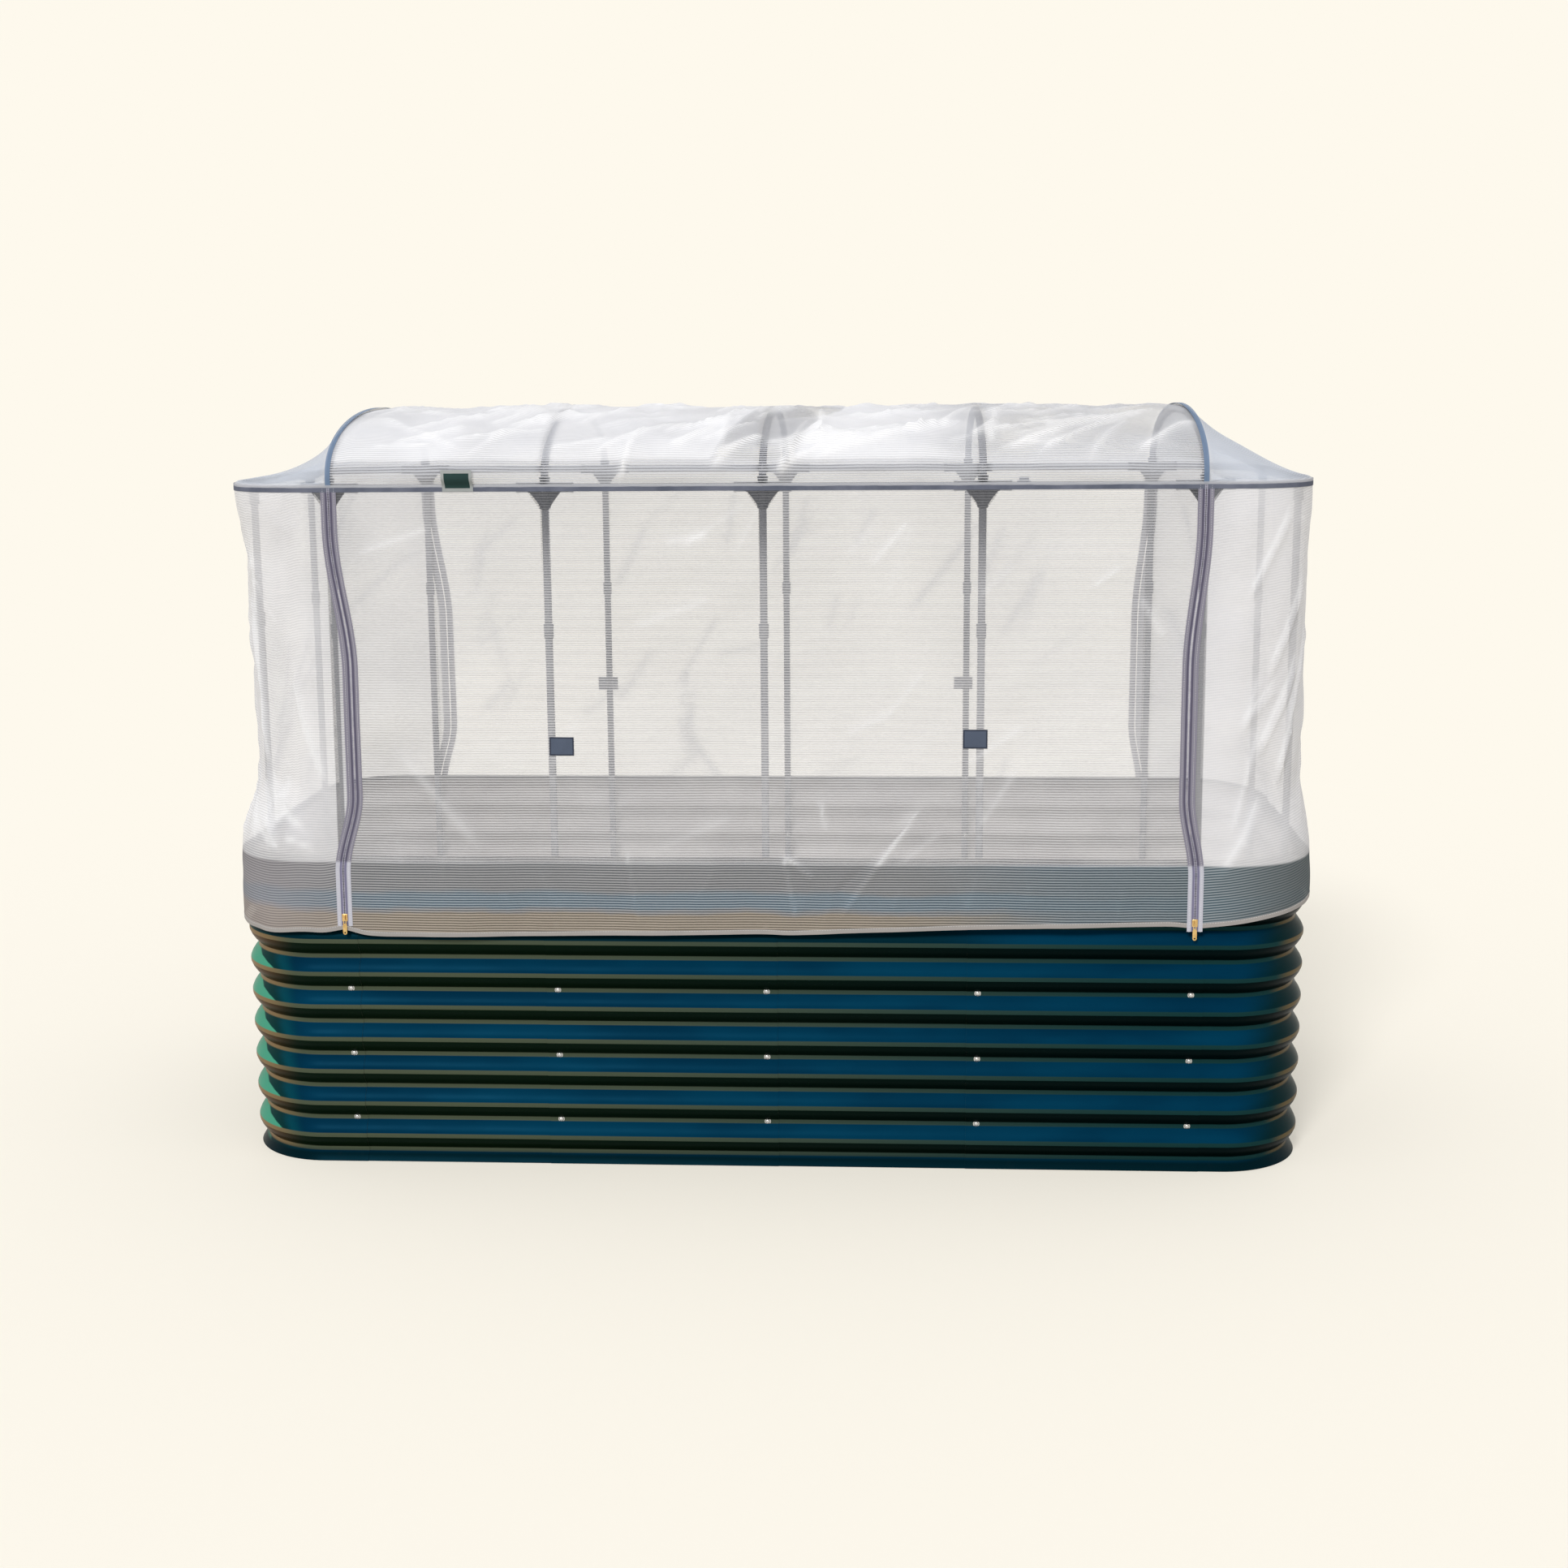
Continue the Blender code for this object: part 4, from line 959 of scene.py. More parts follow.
def post(name, top):
    low, high = COUPLER_AT - COUPLER_HALF, COUPLER_AT + COUPLER_HALF
    profile = [(0, 0), (TUBE - 0.001, 0), (TUBE, 0.001), (TUBE, low),
               (COUPLER_RADIUS - 0.0006, low), (COUPLER_RADIUS, low + 0.0008),
               (COUPLER_RADIUS, high - 0.007), (COUPLER_RADIUS + 0.0006, high - 0.004),
               (COUPLER_RADIUS + 0.0006, high - 0.0008), (COUPLER_RADIUS, high),
               (TUBE, high), (TUBE, top), (0, top)]
    return turned(name, profile, tube_coat)


for row, side in (("front", -1), ("rear", 1)):
    for k, x in enumerate(SEAM_X, 1):
        upright = post("upright", socket_floor)
        piece = moved(f"{row}_post_{k}_tube", upright, (x, side * ARCH_HALF, 0))
        bpy.data.objects.remove(upright)
        finished(piece, "bed_and_frame", "tube", f"{row}_post_{k}")
print("tubes", sum("_tube" in o.name for o in collection.objects))

# %% [markdown]
# ## Tees
# Each crossing has one moulded tee: a long sleeve on the rail with a bead at each mouth, a
# funnel-shaped web below it with hollow sides, a collar for the post and a short socket for
# the hoop. The parts are turned or cut from plate and welded with an exact boolean, so the
# web runs into the tubes without gaps. One mesh then serves all ten crossings.

# %% Tee parts
LIP = 0.0010
WEB_THICKNESS, WEB_TOP, WEB_LENGTH = 0.010, 0.006, 0.038
NECK_HALF, WEB_SPREAD, WEB_HOLLOW = 0.0092, 0.0268, 1.3
SLEEVE_HALF = 0.060
STOP_HALF = TUBE + PLAY + SOCKET_STOP


def beaded(start, end):
    """The outer side of a socket tube with a rounded bead at each end."""
    bead = [(SOCKET + 0.3 * LIP, 0.0), (SOCKET + LIP, 0.0008), (SOCKET + LIP, 0.0050),
            (SOCKET, 0.0065)]
    return [(r, start + z) for r, z in bead] + [(r, end - z) for r, z in bead[::-1]]


def cut_or_weld(name, base, others, operation):
    for other in others:
        step = base.modifiers.new(operation.title(), "BOOLEAN")
        step.operation, step.solver, step.object = operation, "EXACT", other
    made = plain(name, base)
    for other in others:
        bpy.data.objects.remove(other)
    return made


def web():
    """The hollow-sided funnel plate, with its long edges eased."""
    share = np.linspace(1, 0, 12)
    side_x = NECK_HALF + WEB_SPREAD * share**WEB_HOLLOW
    side_z = -WEB_TOP - WEB_LENGTH * (1 - share)
    outline = [*zip(side_x, side_z), *zip(-side_x[::-1], side_z[::-1])]
    mesh = bpy.data.meshes.new("web")
    near_side = [(x, -WEB_THICKNESS / 2, z) for x, z in outline]
    mesh.from_pydata(near_side, [], [list(range(len(outline)))])
    plate = linked("web", mesh)

    def thick(cells):
        found = bmesh.ops.extrude_face_region(cells, geom=cells.faces[:])["geom"]
        far = [v for v in found if isinstance(v, bmesh.types.BMVert)]
        bmesh.ops.translate(cells, vec=(0, WEB_THICKNESS, 0), verts=far)
        bmesh.ops.recalc_face_normals(cells, faces=cells.faces)

    edited(mesh, thick)
    mesh.materials.append(tee_plastic)
    eased(plate, 0.0012, 50)
    return plain("web", plate)


def lain(piece):
    """The piece with its z axis laid along x."""
    piece.data.transform(Matrix.Rotation(math.pi / 2, 4, "Y"))
    return piece


def tee(name, with_hoop_socket):
    bore = TUBE + PLAY
    sleeve = [(0, -SLEEVE_HALF), *beaded(-SLEEVE_HALF, SLEEVE_HALF), (0, SLEEVE_HALF)]
    sleeve = lain(turned("sleeve", sleeve, tee_plastic))
    top = SOCKET_RISE if with_hoop_socket else 0.0
    outside = beaded(-COLLAR_DROP, top) if top else [*beaded(-COLLAR_DROP, 0.02)[:4], (SOCKET, 0.0)]
    inside = [(bore, top), (bore, STOP_HALF), (0, STOP_HALF)] if top else [(0, 0.0)]
    collar = [(0, -STOP_HALF), (bore, -STOP_HALF), (bore, -COLLAR_DROP), *outside, *inside]
    collar = turned("collar", collar, tee_plastic)
    welded = cut_or_weld("welded", sleeve, [web(), collar], "UNION")
    past = SLEEVE_HALF + 0.01
    rail_bore = [(0, -past), (bore, -past), (bore, past), (0, past)]
    rail_bore = lain(turned("rail_bore", rail_bore, tee_plastic))
    return cut_or_weld(name, welded, [rail_bore], "DIFFERENCE")


full_tee, end_tee = tee("full_tee", True), tee("end_tee", False)
print("tee faces", len(full_tee.data.polygons), "end tee faces", len(end_tee.data.polygons))

# %% Tees in place
for k, x in enumerate(SEAM_X, 1):
    piece = moved(f"front_tee_{k}_moulded", full_tee, (x, -ARCH_HALF, RAIL))
    finished(piece, "bed_and_frame", "tee", f"front_tee_{k}")
rear_tees = [moved("rear_tee", full_tee, (x, ARCH_HALF, RAIL)) for x in SEAM_X]
rear_rail = joined("rear_rail_and_tees", [rear_tube, *rear_tees])
finished(rear_rail, "bed_and_frame", "tube", "rear_rail")
for side, sign in (("left", -1), ("right", 1)):
    for row, way in (("front", -1), ("rear", 1)):
        upright = post("upright", RAIL - 0.012)
        pair = [upright, moved("end_tee_turned", end_tee, (0, 0, RAIL), math.pi / 2)]
        whole = joined("whole", pair)
        spot = (sign * (CORNER_X + RING), way * SEAM_SPACING / 2, 0)
        piece = moved(f"{side}_end_post_{row}_with_tee", whole, spot)
        bpy.data.objects.remove(whole)
        finished(piece, "bed_and_frame", "tee", f"{side}_end_post_{row}")
for source in (full_tee, end_tee):
    bpy.data.objects.remove(source)

# %% [markdown]
# ## Bolts
# Every seam has four bolts in its valleys: a washer and a low domed head outside, and inside
# a nut behind the post that the bolt goes through. A bolt is drawn once in a geometry tree
# and set on points that carry the outward direction of the wall.

# %% Bolt tree
t, given = geometry_tree("Bolts on points", {
    "Washer radius": "Float", "Washer height": "Float", "Head sides": "Int", "Head radius": "Float",
    "Head height": "Float", "Dome radius": "Float", "Dome height": "Float", "Material": "Material"})
washer_top = given.out("Washer height")
head_top = washer_top + given.out("Head height")
washer = t.node("GeometryNodeMeshCylinder", Vertices=24, Radius=given.out("Washer radius"),
                Depth=washer_top)
washer = t.node("GeometryNodeTransform", Geometry=washer,
                Translation=t.joined(0.0, 0.0, washer_top / 2))
head = t.node("GeometryNodeMeshCylinder", Vertices=given.out("Head sides"),
              Radius=given.out("Head radius"), Depth=given.out("Head height"))
head = t.node("GeometryNodeTransform", Geometry=head,
              Translation=t.joined(0.0, 0.0, washer_top + given.out("Head height") / 2))
dome = t.node("GeometryNodeMeshUVSphere", Segments=20, Rings=10, Radius=1.0)
dome = t.node("GeometryNodeTransform", Geometry=dome, Translation=t.joined(0.0, 0.0, head_top),
              Scale=t.joined(*(given.out("Dome " + x) for x in ("radius", "radius", "height"))))
outward = t.node("GeometryNodeInputNamedAttribute", data_type="FLOAT_VECTOR", Name="outward")
turn = t.node("FunctionNodeAlignRotationToVector", axis="Z", Vector=outward)
bolts = t.node("GeometryNodeInstanceOnPoints", Points=given, Instance=t.join(washer, head, dome),
               Rotation=turn)
end_tree(t, bolts, given.out("Material"))
bolt_tree = t


def directed(name, points, edges=(), **directions):
    """A mesh of bare points or a path, whose points carry direction attributes."""
    mesh = bpy.data.meshes.new(name)
    mesh.from_pydata([tuple(map(float, p)) for p in points], list(edges), [])
    for label, vectors in directions.items():
        layer = mesh.attributes.new(label, "FLOAT_VECTOR", "POINT")
        layer.data.foreach_set("vector", np.asarray(vectors, float).ravel())
    return linked(name, mesh)


# %% Bolt heads and nuts
BOLT_ROWS = [FIRST_VALLEY + k * WAVE_PITCH for k in (1, 3, 5, 7)]
station, level = (a.ravel() for a in np.meshgrid(seam_stations, BOLT_ROWS, indexing="ij"))


def bolt_ends(name, radius, way, **sizes):
    """One end of every bolt, pointing outwards (way 1) or inwards (way -1)."""
    x, y, out_x, out_y = plan(station, radius)
    outward = way * np.stack([out_x, out_y, np.zeros(len(x))], -1)
    spots = directed("spots", np.stack([x, y, level], -1), outward=outward)
    made = grown(name, spots, bolt_tree, Washer_height=0.0010, Material=zinc, **sizes)
    return finished(made, "bed_and_frame", "rod")


bolt_ends("bolt_heads", VALLEY_FACE, 1, Washer_radius=0.0070, Head_sides=24, Head_radius=0.0052,
          Head_height=0.0016, Dome_radius=0.0050, Dome_height=0.0024)
bolt_ends("bolt_nuts", RING - TUBE, -1, Washer_radius=0.0065, Head_sides=6, Head_radius=0.0058,
          Head_height=0.0045, Dome_radius=0.0030, Dome_height=0.0040)
print("bolts", len(station))

# %% [markdown]
# ## How the cover hangs
# The two door panels hang straight from the rail's outer side to just outside the rim, so
# that they can be rolled up. The rounded ends hang close to their posts and flare out where
# they pass over the rim. Wrinkles are added to that as lifts away from the frame: long
# ridges along a line for the creases a folded cloth keeps, and soft value noise between
# them. Everything is a function of position, so net, hem, zips and patches stay together.

# %% Shape of the hanging net
FLARE_TOP, FLARE_BOTTOM = WALL_HEIGHT + 0.170, WALL_HEIGHT + 0.010
DOOR_HALF = LONG_HALF - ZIP_GAP / 2
ZIP_BOW = {"left": 0.034, "right": 0.024}
BOW_TOP, BOW_FOOT = (1.40, 0.30), (0.66, 0.17)
BESIDE_ZIP = 0.012
END_SWAG = 0.182
DIAGONAL = math.sqrt(0.5)
# the top of a panel that ends up behind the rail binding when the panel is rolled up
ROLL_LAYER = 0.076


def zip_radius(height):
    return NET_TOP + ZIP_LEAN * (RAIL - height)


def zip_bow(height, side):
    """How far a zip strays towards the middle of the bed between rail and rim."""
    below_top = smooth((BOW_TOP[0] - height) / BOW_TOP[1])
    return ZIP_BOW[side] * below_top * smooth((height - BOW_FOOT[0]) / BOW_FOOT[1])


def door_half(height, sign):
    """Half the width of a door panel, on its right side where the sign is positive."""
    return DOOR_HALF - np.where(sign > 0, zip_bow(height, "right"), zip_bow(height, "left"))


def folded(creases, full, density):
    """The fold map's values: how near creases come to a full fold, and the net's density."""
    near = np.clip(creases / full, 0, 1) ** 1.5
    return np.stack(np.broadcast_arrays(near, density), -1)


def corner_room(station):
    """How far a straight line from the corner post to the end post passes inside the cover's
    rounded corner."""
    x, y, out_x, out_y = plan(np.minimum(station, 2 * QUARTER - station), NET_TOP)
    line = (LONG_HALF + ARCH_HALF) * DIAGONAL + NET_WRAP
    beyond = (x - y) * DIAGONAL - line
    return np.maximum(beyond / ((out_x - out_y) * DIAGONAL), 0)


def swag(place, span):
    """0 where the cloth is held, at each span, and 1 half-way between."""
    return 0.5 - 0.5 * np.cos(2 * math.pi * place / span)


def end_radius(height, from_zip, station, draw):
    """Where a rounded end hangs: on the zip's line beside the zip, and farther round close to
    the posts and drawn in between them, flaring out over the rim."""
    straight = zip_radius(height)
    flare = smooth((FLARE_TOP - height) / (FLARE_TOP - FLARE_BOTTOM))
    fall = smooth((RAIL - height) / 0.16) * (0.8 + 0.2 * smooth((RAIL - height) / 0.5))
    pulled_in = (straight - NET_TOP + draw * corner_room(station) * fall) * (1 - flare)
    swell = 0.004 * fall * (1 - flare * 0.6) * swag(station - QUARTER, END_SWAG)
    return straight + smooth((from_zip - BESIDE_ZIP) / 0.10) * (swell - pulled_in)


# %% Wrinkles
def ripple(u, v, seed, size):
    """Soft bumps of about the given size, from -1 to 1."""
    lattice = np.random.default_rng(seed).uniform(-1, 1, (64, 64))
    a, b = u / size + 32, v / size + 32
    i, j = np.floor(a).astype(int), np.floor(b).astype(int)
    s, t = smooth(a - i), smooth(b - j)

    def at(p, q):
        return lattice[p % 64, q % 64]

    low = at(i, j) * (1 - s) + at(i + 1, j) * s
    high = at(i, j + 1) * (1 - s) + at(i + 1, j + 1) * s
    return low * (1 - t) + high * t


def crumpled(u, v, seed, *bumps):
    """Soft bumps of several (height, size), all of them lifts."""
    return sum(height * (1 + ripple(u, v, seed + k, size))
               for k, (height, size) in enumerate(bumps))


def creased(u, v, lines):
    """How far creases lift the cloth: ridges along straight lines that fade at their ends.
    A line is its two ends, its width and its height."""
    lift = np.zeros(np.broadcast(u, v).shape)
    for u0, v0, u1, v1, width, height in lines:
        du, dv = u1 - u0, v1 - v0
        length = math.hypot(du, dv)
        along = ((u - u0) * du + (v - v0) * dv) / length**2
        across = ((u - u0) * dv - (v - v0) * du) / length
        fade = smooth(along * 5) * smooth((1 - along) * 5)
        lift += height * fade * np.exp(-np.abs(across) / width)
    return lift


def scattered(seed, count, low, high, lean, length, height):
    """Crease lines at random places of a rectangle, at an angle from upright of about lean."""
    rng = np.random.default_rng(seed)
    lines = []
    for _ in range(count):
        u, v = rng.uniform(low[0], high[0]), rng.uniform(low[1], high[1])
        angle = lean + rng.normal(0, 0.35)
        run = length * rng.uniform(0.5, 1.3)
        du, dv = run * math.sin(angle) / 2, run * math.cos(angle) / 2
        width, share = rng.uniform(0.006, 0.014), rng.uniform(0.4, 1.0)
        lines.append((u - du, v - dv, u + du, v + dv, width, height * share))
    return lines


# %% [markdown]
# ## Door panels
# The front and rear panels are single sheets from zip to zip. Their hems are not quite
# level: the front one dips at its left corner and rises to the right. When a panel is
# rolled up its hem rises along the zips and the sheet crumples below the rail; here each
# sheet is carried by its door's body.

# %% Door surface
HEM_SHAPE = {
    "front": ([-0.914, -0.885, -0.840, -0.60, -0.30, 0.0, 0.05, 0.20, 0.45, 0.75, 0.87, 0.914],
              [-0.004, -0.016, -0.020, -0.018, -0.013, -0.009, -0.011, -0.004, 0.004, 0.012,
               0.014, 0.008]),
    "rear": ([-0.914, -0.80, -0.45, -0.10, 0.30, 0.60, 0.84, 0.914],
             [0.002, 0.006, 0.003, -0.004, -0.002, 0.004, -0.007, 0.000]),
    # the ends count from their front zip
    "left": ([0.0, 0.04, 0.09, 0.16, 0.22, 0.31, 0.60, 0.95, 1.35],
             [-0.004, -0.014, -0.010, -0.018, -0.014, -0.012, 0.002, -0.004, 0.000]),
    "right": ([0.0, 0.05, 0.12, 0.22, 0.31, 0.45, 0.80, 1.10, 1.35],
              [0.008, 0.014, 0.024, 0.036, 0.044, 0.040, 0.010, 0.004, 0.000]),
}
DOOR_CREASES = {
    "front": [(0.344, 0.825, 0.150, 0.556, 0.007, 0.0050),
              (0.339, 0.805, 0.129, 0.600, 0.006, -0.0030),
              (0.035, 0.722, 0.071, 0.545, 0.005, 0.0030),
              (0.040, 0.705, 0.110, 0.648, 0.006, 0.0045),
              (0.118, 0.830, 0.131, 0.750, 0.006, 0.0030), (0.22, 1.31, 0.31, 1.42, 0.008, 0.0030),
              (0.68, 1.27, 0.75, 1.32, 0.006, 0.0035), (0.78, 1.26, 0.84, 1.16, 0.010, 0.0030),
              (-0.30, 0.74, -0.27, 0.54, 0.005, 0.0022), (-0.80, 0.95, -0.60, 0.70, 0.012, 0.0025)],
    "rear": [(-0.30, 0.86, -0.10, 0.56, 0.008, 0.0050), (0.52, 1.38, 0.30, 1.10, 0.010, 0.0040)],
}
DOOR_CREASES["front"] += scattered(5, 16, (-0.80, 0.72), (0.80, 1.42), 0.9, 0.16, 0.0030)
DOOR_CREASES["front"] += scattered(6, 12, (-0.80, 0.56), (0.80, 0.70), 0.2, 0.10, 0.0018)
DOOR_CREASES["rear"] += scattered(7, 40, (-0.80, 0.58), (0.80, 1.42), 0.6, 0.20, 0.0035)
RIPPLE_SEED = {"front": 11, "rear": 12, "right": 31, "left": 33}
# how deep a door swings out between its posts, and the height and size of its soft bumps
DOOR_SWAG = 0.005
DOOR_BUMPS = ((0.0022, 0.11), (0.0010, 0.040))
NET_THICKNESS = 0.0008
HEM_INSIDE, HEM_OUTSIDE = -0.0003, 0.0014


def hem_height(part, place):
    """Height of the lower edge of the hem of a door or an end at a place along it."""
    places, offsets = HEM_SHAPE[part]
    place = np.asarray(place, float)
    near = [np.interp(place + shift, places, offsets) for shift in (-0.02, -0.01, 0.0, 0.01, 0.02)]
    return HEM + np.mean(near, axis=0)


def door_points(row, share, height, out=0.0):
    """Points of a door panel: share runs from -1 at its left zip to 1 at its right one."""
    share, height = np.broadcast_arrays(np.asarray(share, float), np.asarray(height, float))
    x = share * door_half(height, share)
    free = smooth((DOOR_HALF - np.abs(x)) / 0.06) * smooth((RAIL - height - ROLL_LAYER) / 0.08)
    fold = DOOR_SWAG * smooth((RAIL - height) / 0.25) * swag(x, SEAM_SPACING)
    soft = crumpled(x, height, RIPPLE_SEED[row], *DOOR_BUMPS)
    lift = (fold + soft + creased(x, height, DOOR_CREASES[row])) * free
    radius = zip_radius(height) + np.maximum(lift, 0) + out
    sign = -1.0 if row == "front" else 1.0
    return np.stack([x, sign * (CORNER_Y + radius), height], -1)


# %% Door sheets
ANCHOR_HEIGHT = HEM - 0.020


def rolls_up(piece, row):
    """Gives the piece a mesh of its own and leaves its shape as it is."""
    sign = -1 if row == "front" else 1
    anchor = (0, sign * (CORNER_Y + zip_radius(ANCHOR_HEIGHT)), ANCHOR_HEIGHT)
    row + "_door_roll"
    -sign * ZIP_LEAN
    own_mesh(piece)
    return piece


def thickened(name, sheet, thickness):
    """The open sheet with a wall on its outer side, turned into a plain closed mesh."""
    wall = sheet.modifiers.new("Wall", "SOLIDIFY")
    wall.thickness, wall.offset = thickness, 1.0
    return plain(name, sheet, merge=0)


DOOR_GRID = {"front": (260, 130), "rear": (180, 90)}
for row in ("front", "rear"):
    columns, rows = DOOR_GRID[row]
    share = np.linspace(-1, 1, columns + 1)[:, None]
    low = hem_height(row, share * DOOR_HALF) + 0.002
    height = low + (RAIL - PLAY - low) * np.linspace(0, 1, rows + 1)[None, :]
    points = door_points(row, share, height)
    cloth = np.stack([points[..., 0], height], -1)
    creases = creased(points[..., 0], height, DOOR_CREASES[row])
    fold = folded(creases, 0.0035, 0.15 * ripple(share, height, 13, 0.3))
    sheet = facing_out(quad_object("sheet", points, [wall_net], cloth=cloth, fold=fold))
    piece = thickened(row + "_door_sheet", sheet, NET_THICKNESS)
    finished(piece, row + "_door", "net", row + "_door_net")
    rolls_up(piece, row)
    print(row, "door faces", len(piece.data.polygons))


# %% Hem bands
def band(name, edge, across, out, finish):
    """A closed strip: edge points, a step across it, and steps out from it for both faces."""
    edge, across, out = (np.asarray(a, float) for a in (edge, across, out))
    length = np.r_[0, np.cumsum(np.linalg.norm(np.diff(edge, axis=0), axis=1))]
    width = np.linalg.norm(across, axis=1)
    inner_low, outer_low = edge, edge + out
    inner_high, outer_high = edge + across, edge + across + out
    points = np.stack([outer_low, outer_high, inner_high, inner_low], 1)
    cloth = np.stack([np.stack([length, width * 0], -1), np.stack([length, width], -1),
                      np.stack([length, width], -1), np.stack([length, width * 0], -1)], 1)
    strip = quad_object(name, points, [finish], closed_section=True, cloth=cloth)
    edited(strip.data, closed)
    return strip


def sewn(name, line, width, inside, outside, finish):
    """A band on the cloth. line(way, out) gives points that way across it and that far off it."""
    edge = line(0.0, inside)
    return band(name, edge, line(width, inside) - edge, line(0.0, outside) - edge, finish)


for row in ("front", "rear"):
    share = np.linspace(-1, 1, 181)
    low = hem_height(row, share * DOOR_HALF)
    hem = sewn(row + "_hem_band", lambda up, out: door_points(row, share, low + up, out),
               HEM_BAND, HEM_INSIDE, HEM_OUTSIDE, hem_tape)
    finished(hem, row + "_door", "hem", row + "_hem")
print("hem bands 2")

# %% [markdown]
# ## Rounded ends
# Each end is one sheet: a wall from the hem to the rail, then over the rail, then a hip up
# to the end hoop. Slack net hangs hollow there, so the hip's height follows a power of the
# way in, and folds run from the rail to the hoop's crown.

# %% End surface
HIP_HOLLOW = {"right": 1.6, "left": 3.0}
HIP_FOLDS, FOLD_SWAY, HIP_RIDGE, HIP_BUMP = 7, 1.3, 0.0075, 0.0035
CORNER_DRAW = {"right": 0.10, "left": 0.34}
END_BUMPS = ((0.002, 0.09), (0.0010, 0.035))
END_CREASES = {
    "right": [(1.122, 1.43, 1.010, 1.235, 0.006, 0.006), (1.175, 1.114, 1.040, 0.90, 0.006, 0.008),
              (1.20, 1.30, 1.06, 1.06, 0.006, 0.006), (1.26, 1.20, 1.12, 0.95, 0.006, 0.007),
              (1.10, 1.06, 1.00, 0.97, 0.005, 0.005), (1.16, 1.00, 1.10, 0.84, 0.007, 0.007)],
    "left": [(1.194, 1.30, 1.142, 0.88, 0.009, 0.008), (1.029, 1.12, 0.960, 0.85, 0.008, 0.007),
             (1.15, 1.42, 1.19, 1.05, 0.008, 0.005), (1.05, 0.90, 1.10, 0.74, 0.010, 0.008),
             (1.16, 0.88, 1.06, 0.78, 0.012, 0.009), (0.99, 0.76, 1.13, 0.86, 0.009, 0.009),
             (1.05, 0.72, 1.19, 0.83, 0.010, 0.010), (1.12, 0.73, 1.26, 0.90, 0.010, 0.009),
             (1.19, 0.71, 1.24, 0.87, 0.008, 0.008), (0.97, 0.72, 1.05, 0.75, 0.008, 0.006)],
}
END_START = LONG_HALF + ZIP_GAP / 2
END_STOP = 2 * QUARTER - END_START
for side, seed in (("right", 21), ("left", 22)):
    END_CREASES[side] += scattered(seed, 30, (END_START + 0.08, 0.72), (END_STOP - 0.08, 1.40),
                                   0.5, 0.26, 0.0060)


def end_points(side, station, height, out=0.0):
    """Points of an end wall. The station runs from the zip at its front, wherever it is."""
    station, height = np.broadcast_arrays(np.asarray(station, float), np.asarray(height, float))
    from_zip = np.minimum(station - END_START, END_STOP - station)
    pull = zip_bow(height, side) * (1 - smooth(from_zip / 0.10))
    shifted = station + np.where(station < QUARTER, -pull, pull)
    free = smooth((from_zip - BESIDE_ZIP) / 0.06) * smooth((RAIL - height) / 0.08)
    soft = crumpled(station, height, RIPPLE_SEED[side], *END_BUMPS)
    lift = (soft + creased(station, height, END_CREASES[side])) * free
    radius = end_radius(height, from_zip, station, CORNER_DRAW[side]) + np.maximum(lift, 0) + out
    turned_station = shifted if side == "right" else 4 * QUARTER - shifted
    x, y, _, _ = plan(turned_station, radius)
    return np.stack([x, y, height], -1)


# %% End sheets
END_COLUMNS, HIP_STEPS, WRAP_STEPS, WALL_STEPS = 201, 28, 6, 90


def hip_points(side, station, way):
    """Points from the top of the end wall (way 0) over the rail and up to the end hoop (way 1)."""
    sign = 1 if side == "right" else -1
    station, way = np.broadcast_arrays(station, way)
    from_zip = np.minimum(station - END_START, END_STOP - station)
    over = smooth((from_zip - BESIDE_ZIP) / 0.030)
    wrap_share = WRAP_STEPS / (WRAP_STEPS + HIP_STEPS)
    angle = math.pi / 2 * np.minimum(way / wrap_share, 1)
    rise = np.clip((way - wrap_share) / (1 - wrap_share), 0, 1)
    x, y, _, _ = plan(station, NET_TOP - NET_WRAP * (1 - np.cos(angle)) * over)
    z = RAIL + NET_WRAP * np.sin(angle)
    across = math.pi * (station - END_START) / (END_STOP - END_START)
    edge_y, edge_z = arch(across, NET_WRAP)
    sway = FOLD_SWAY * ripple(station, station * 0, 51, 0.3)
    folds = np.abs(np.sin(across * HIP_FOLDS + sway))
    lift = HIP_RIDGE * (1 - folds) ** 2 + HIP_BUMP * (1 + ripple(station, rise * 0.25, 52, 0.07))
    lift = lift * np.sin(math.pi * rise) * smooth(from_zip / 0.10)
    sagging = z + (edge_z - z) * rise**HIP_HOLLOW[side] + lift
    points = [x + (END_START - x) * rise, y + (edge_y - y) * rise, sagging]
    points[0] = sign * points[0]
    return np.stack(points, -1)


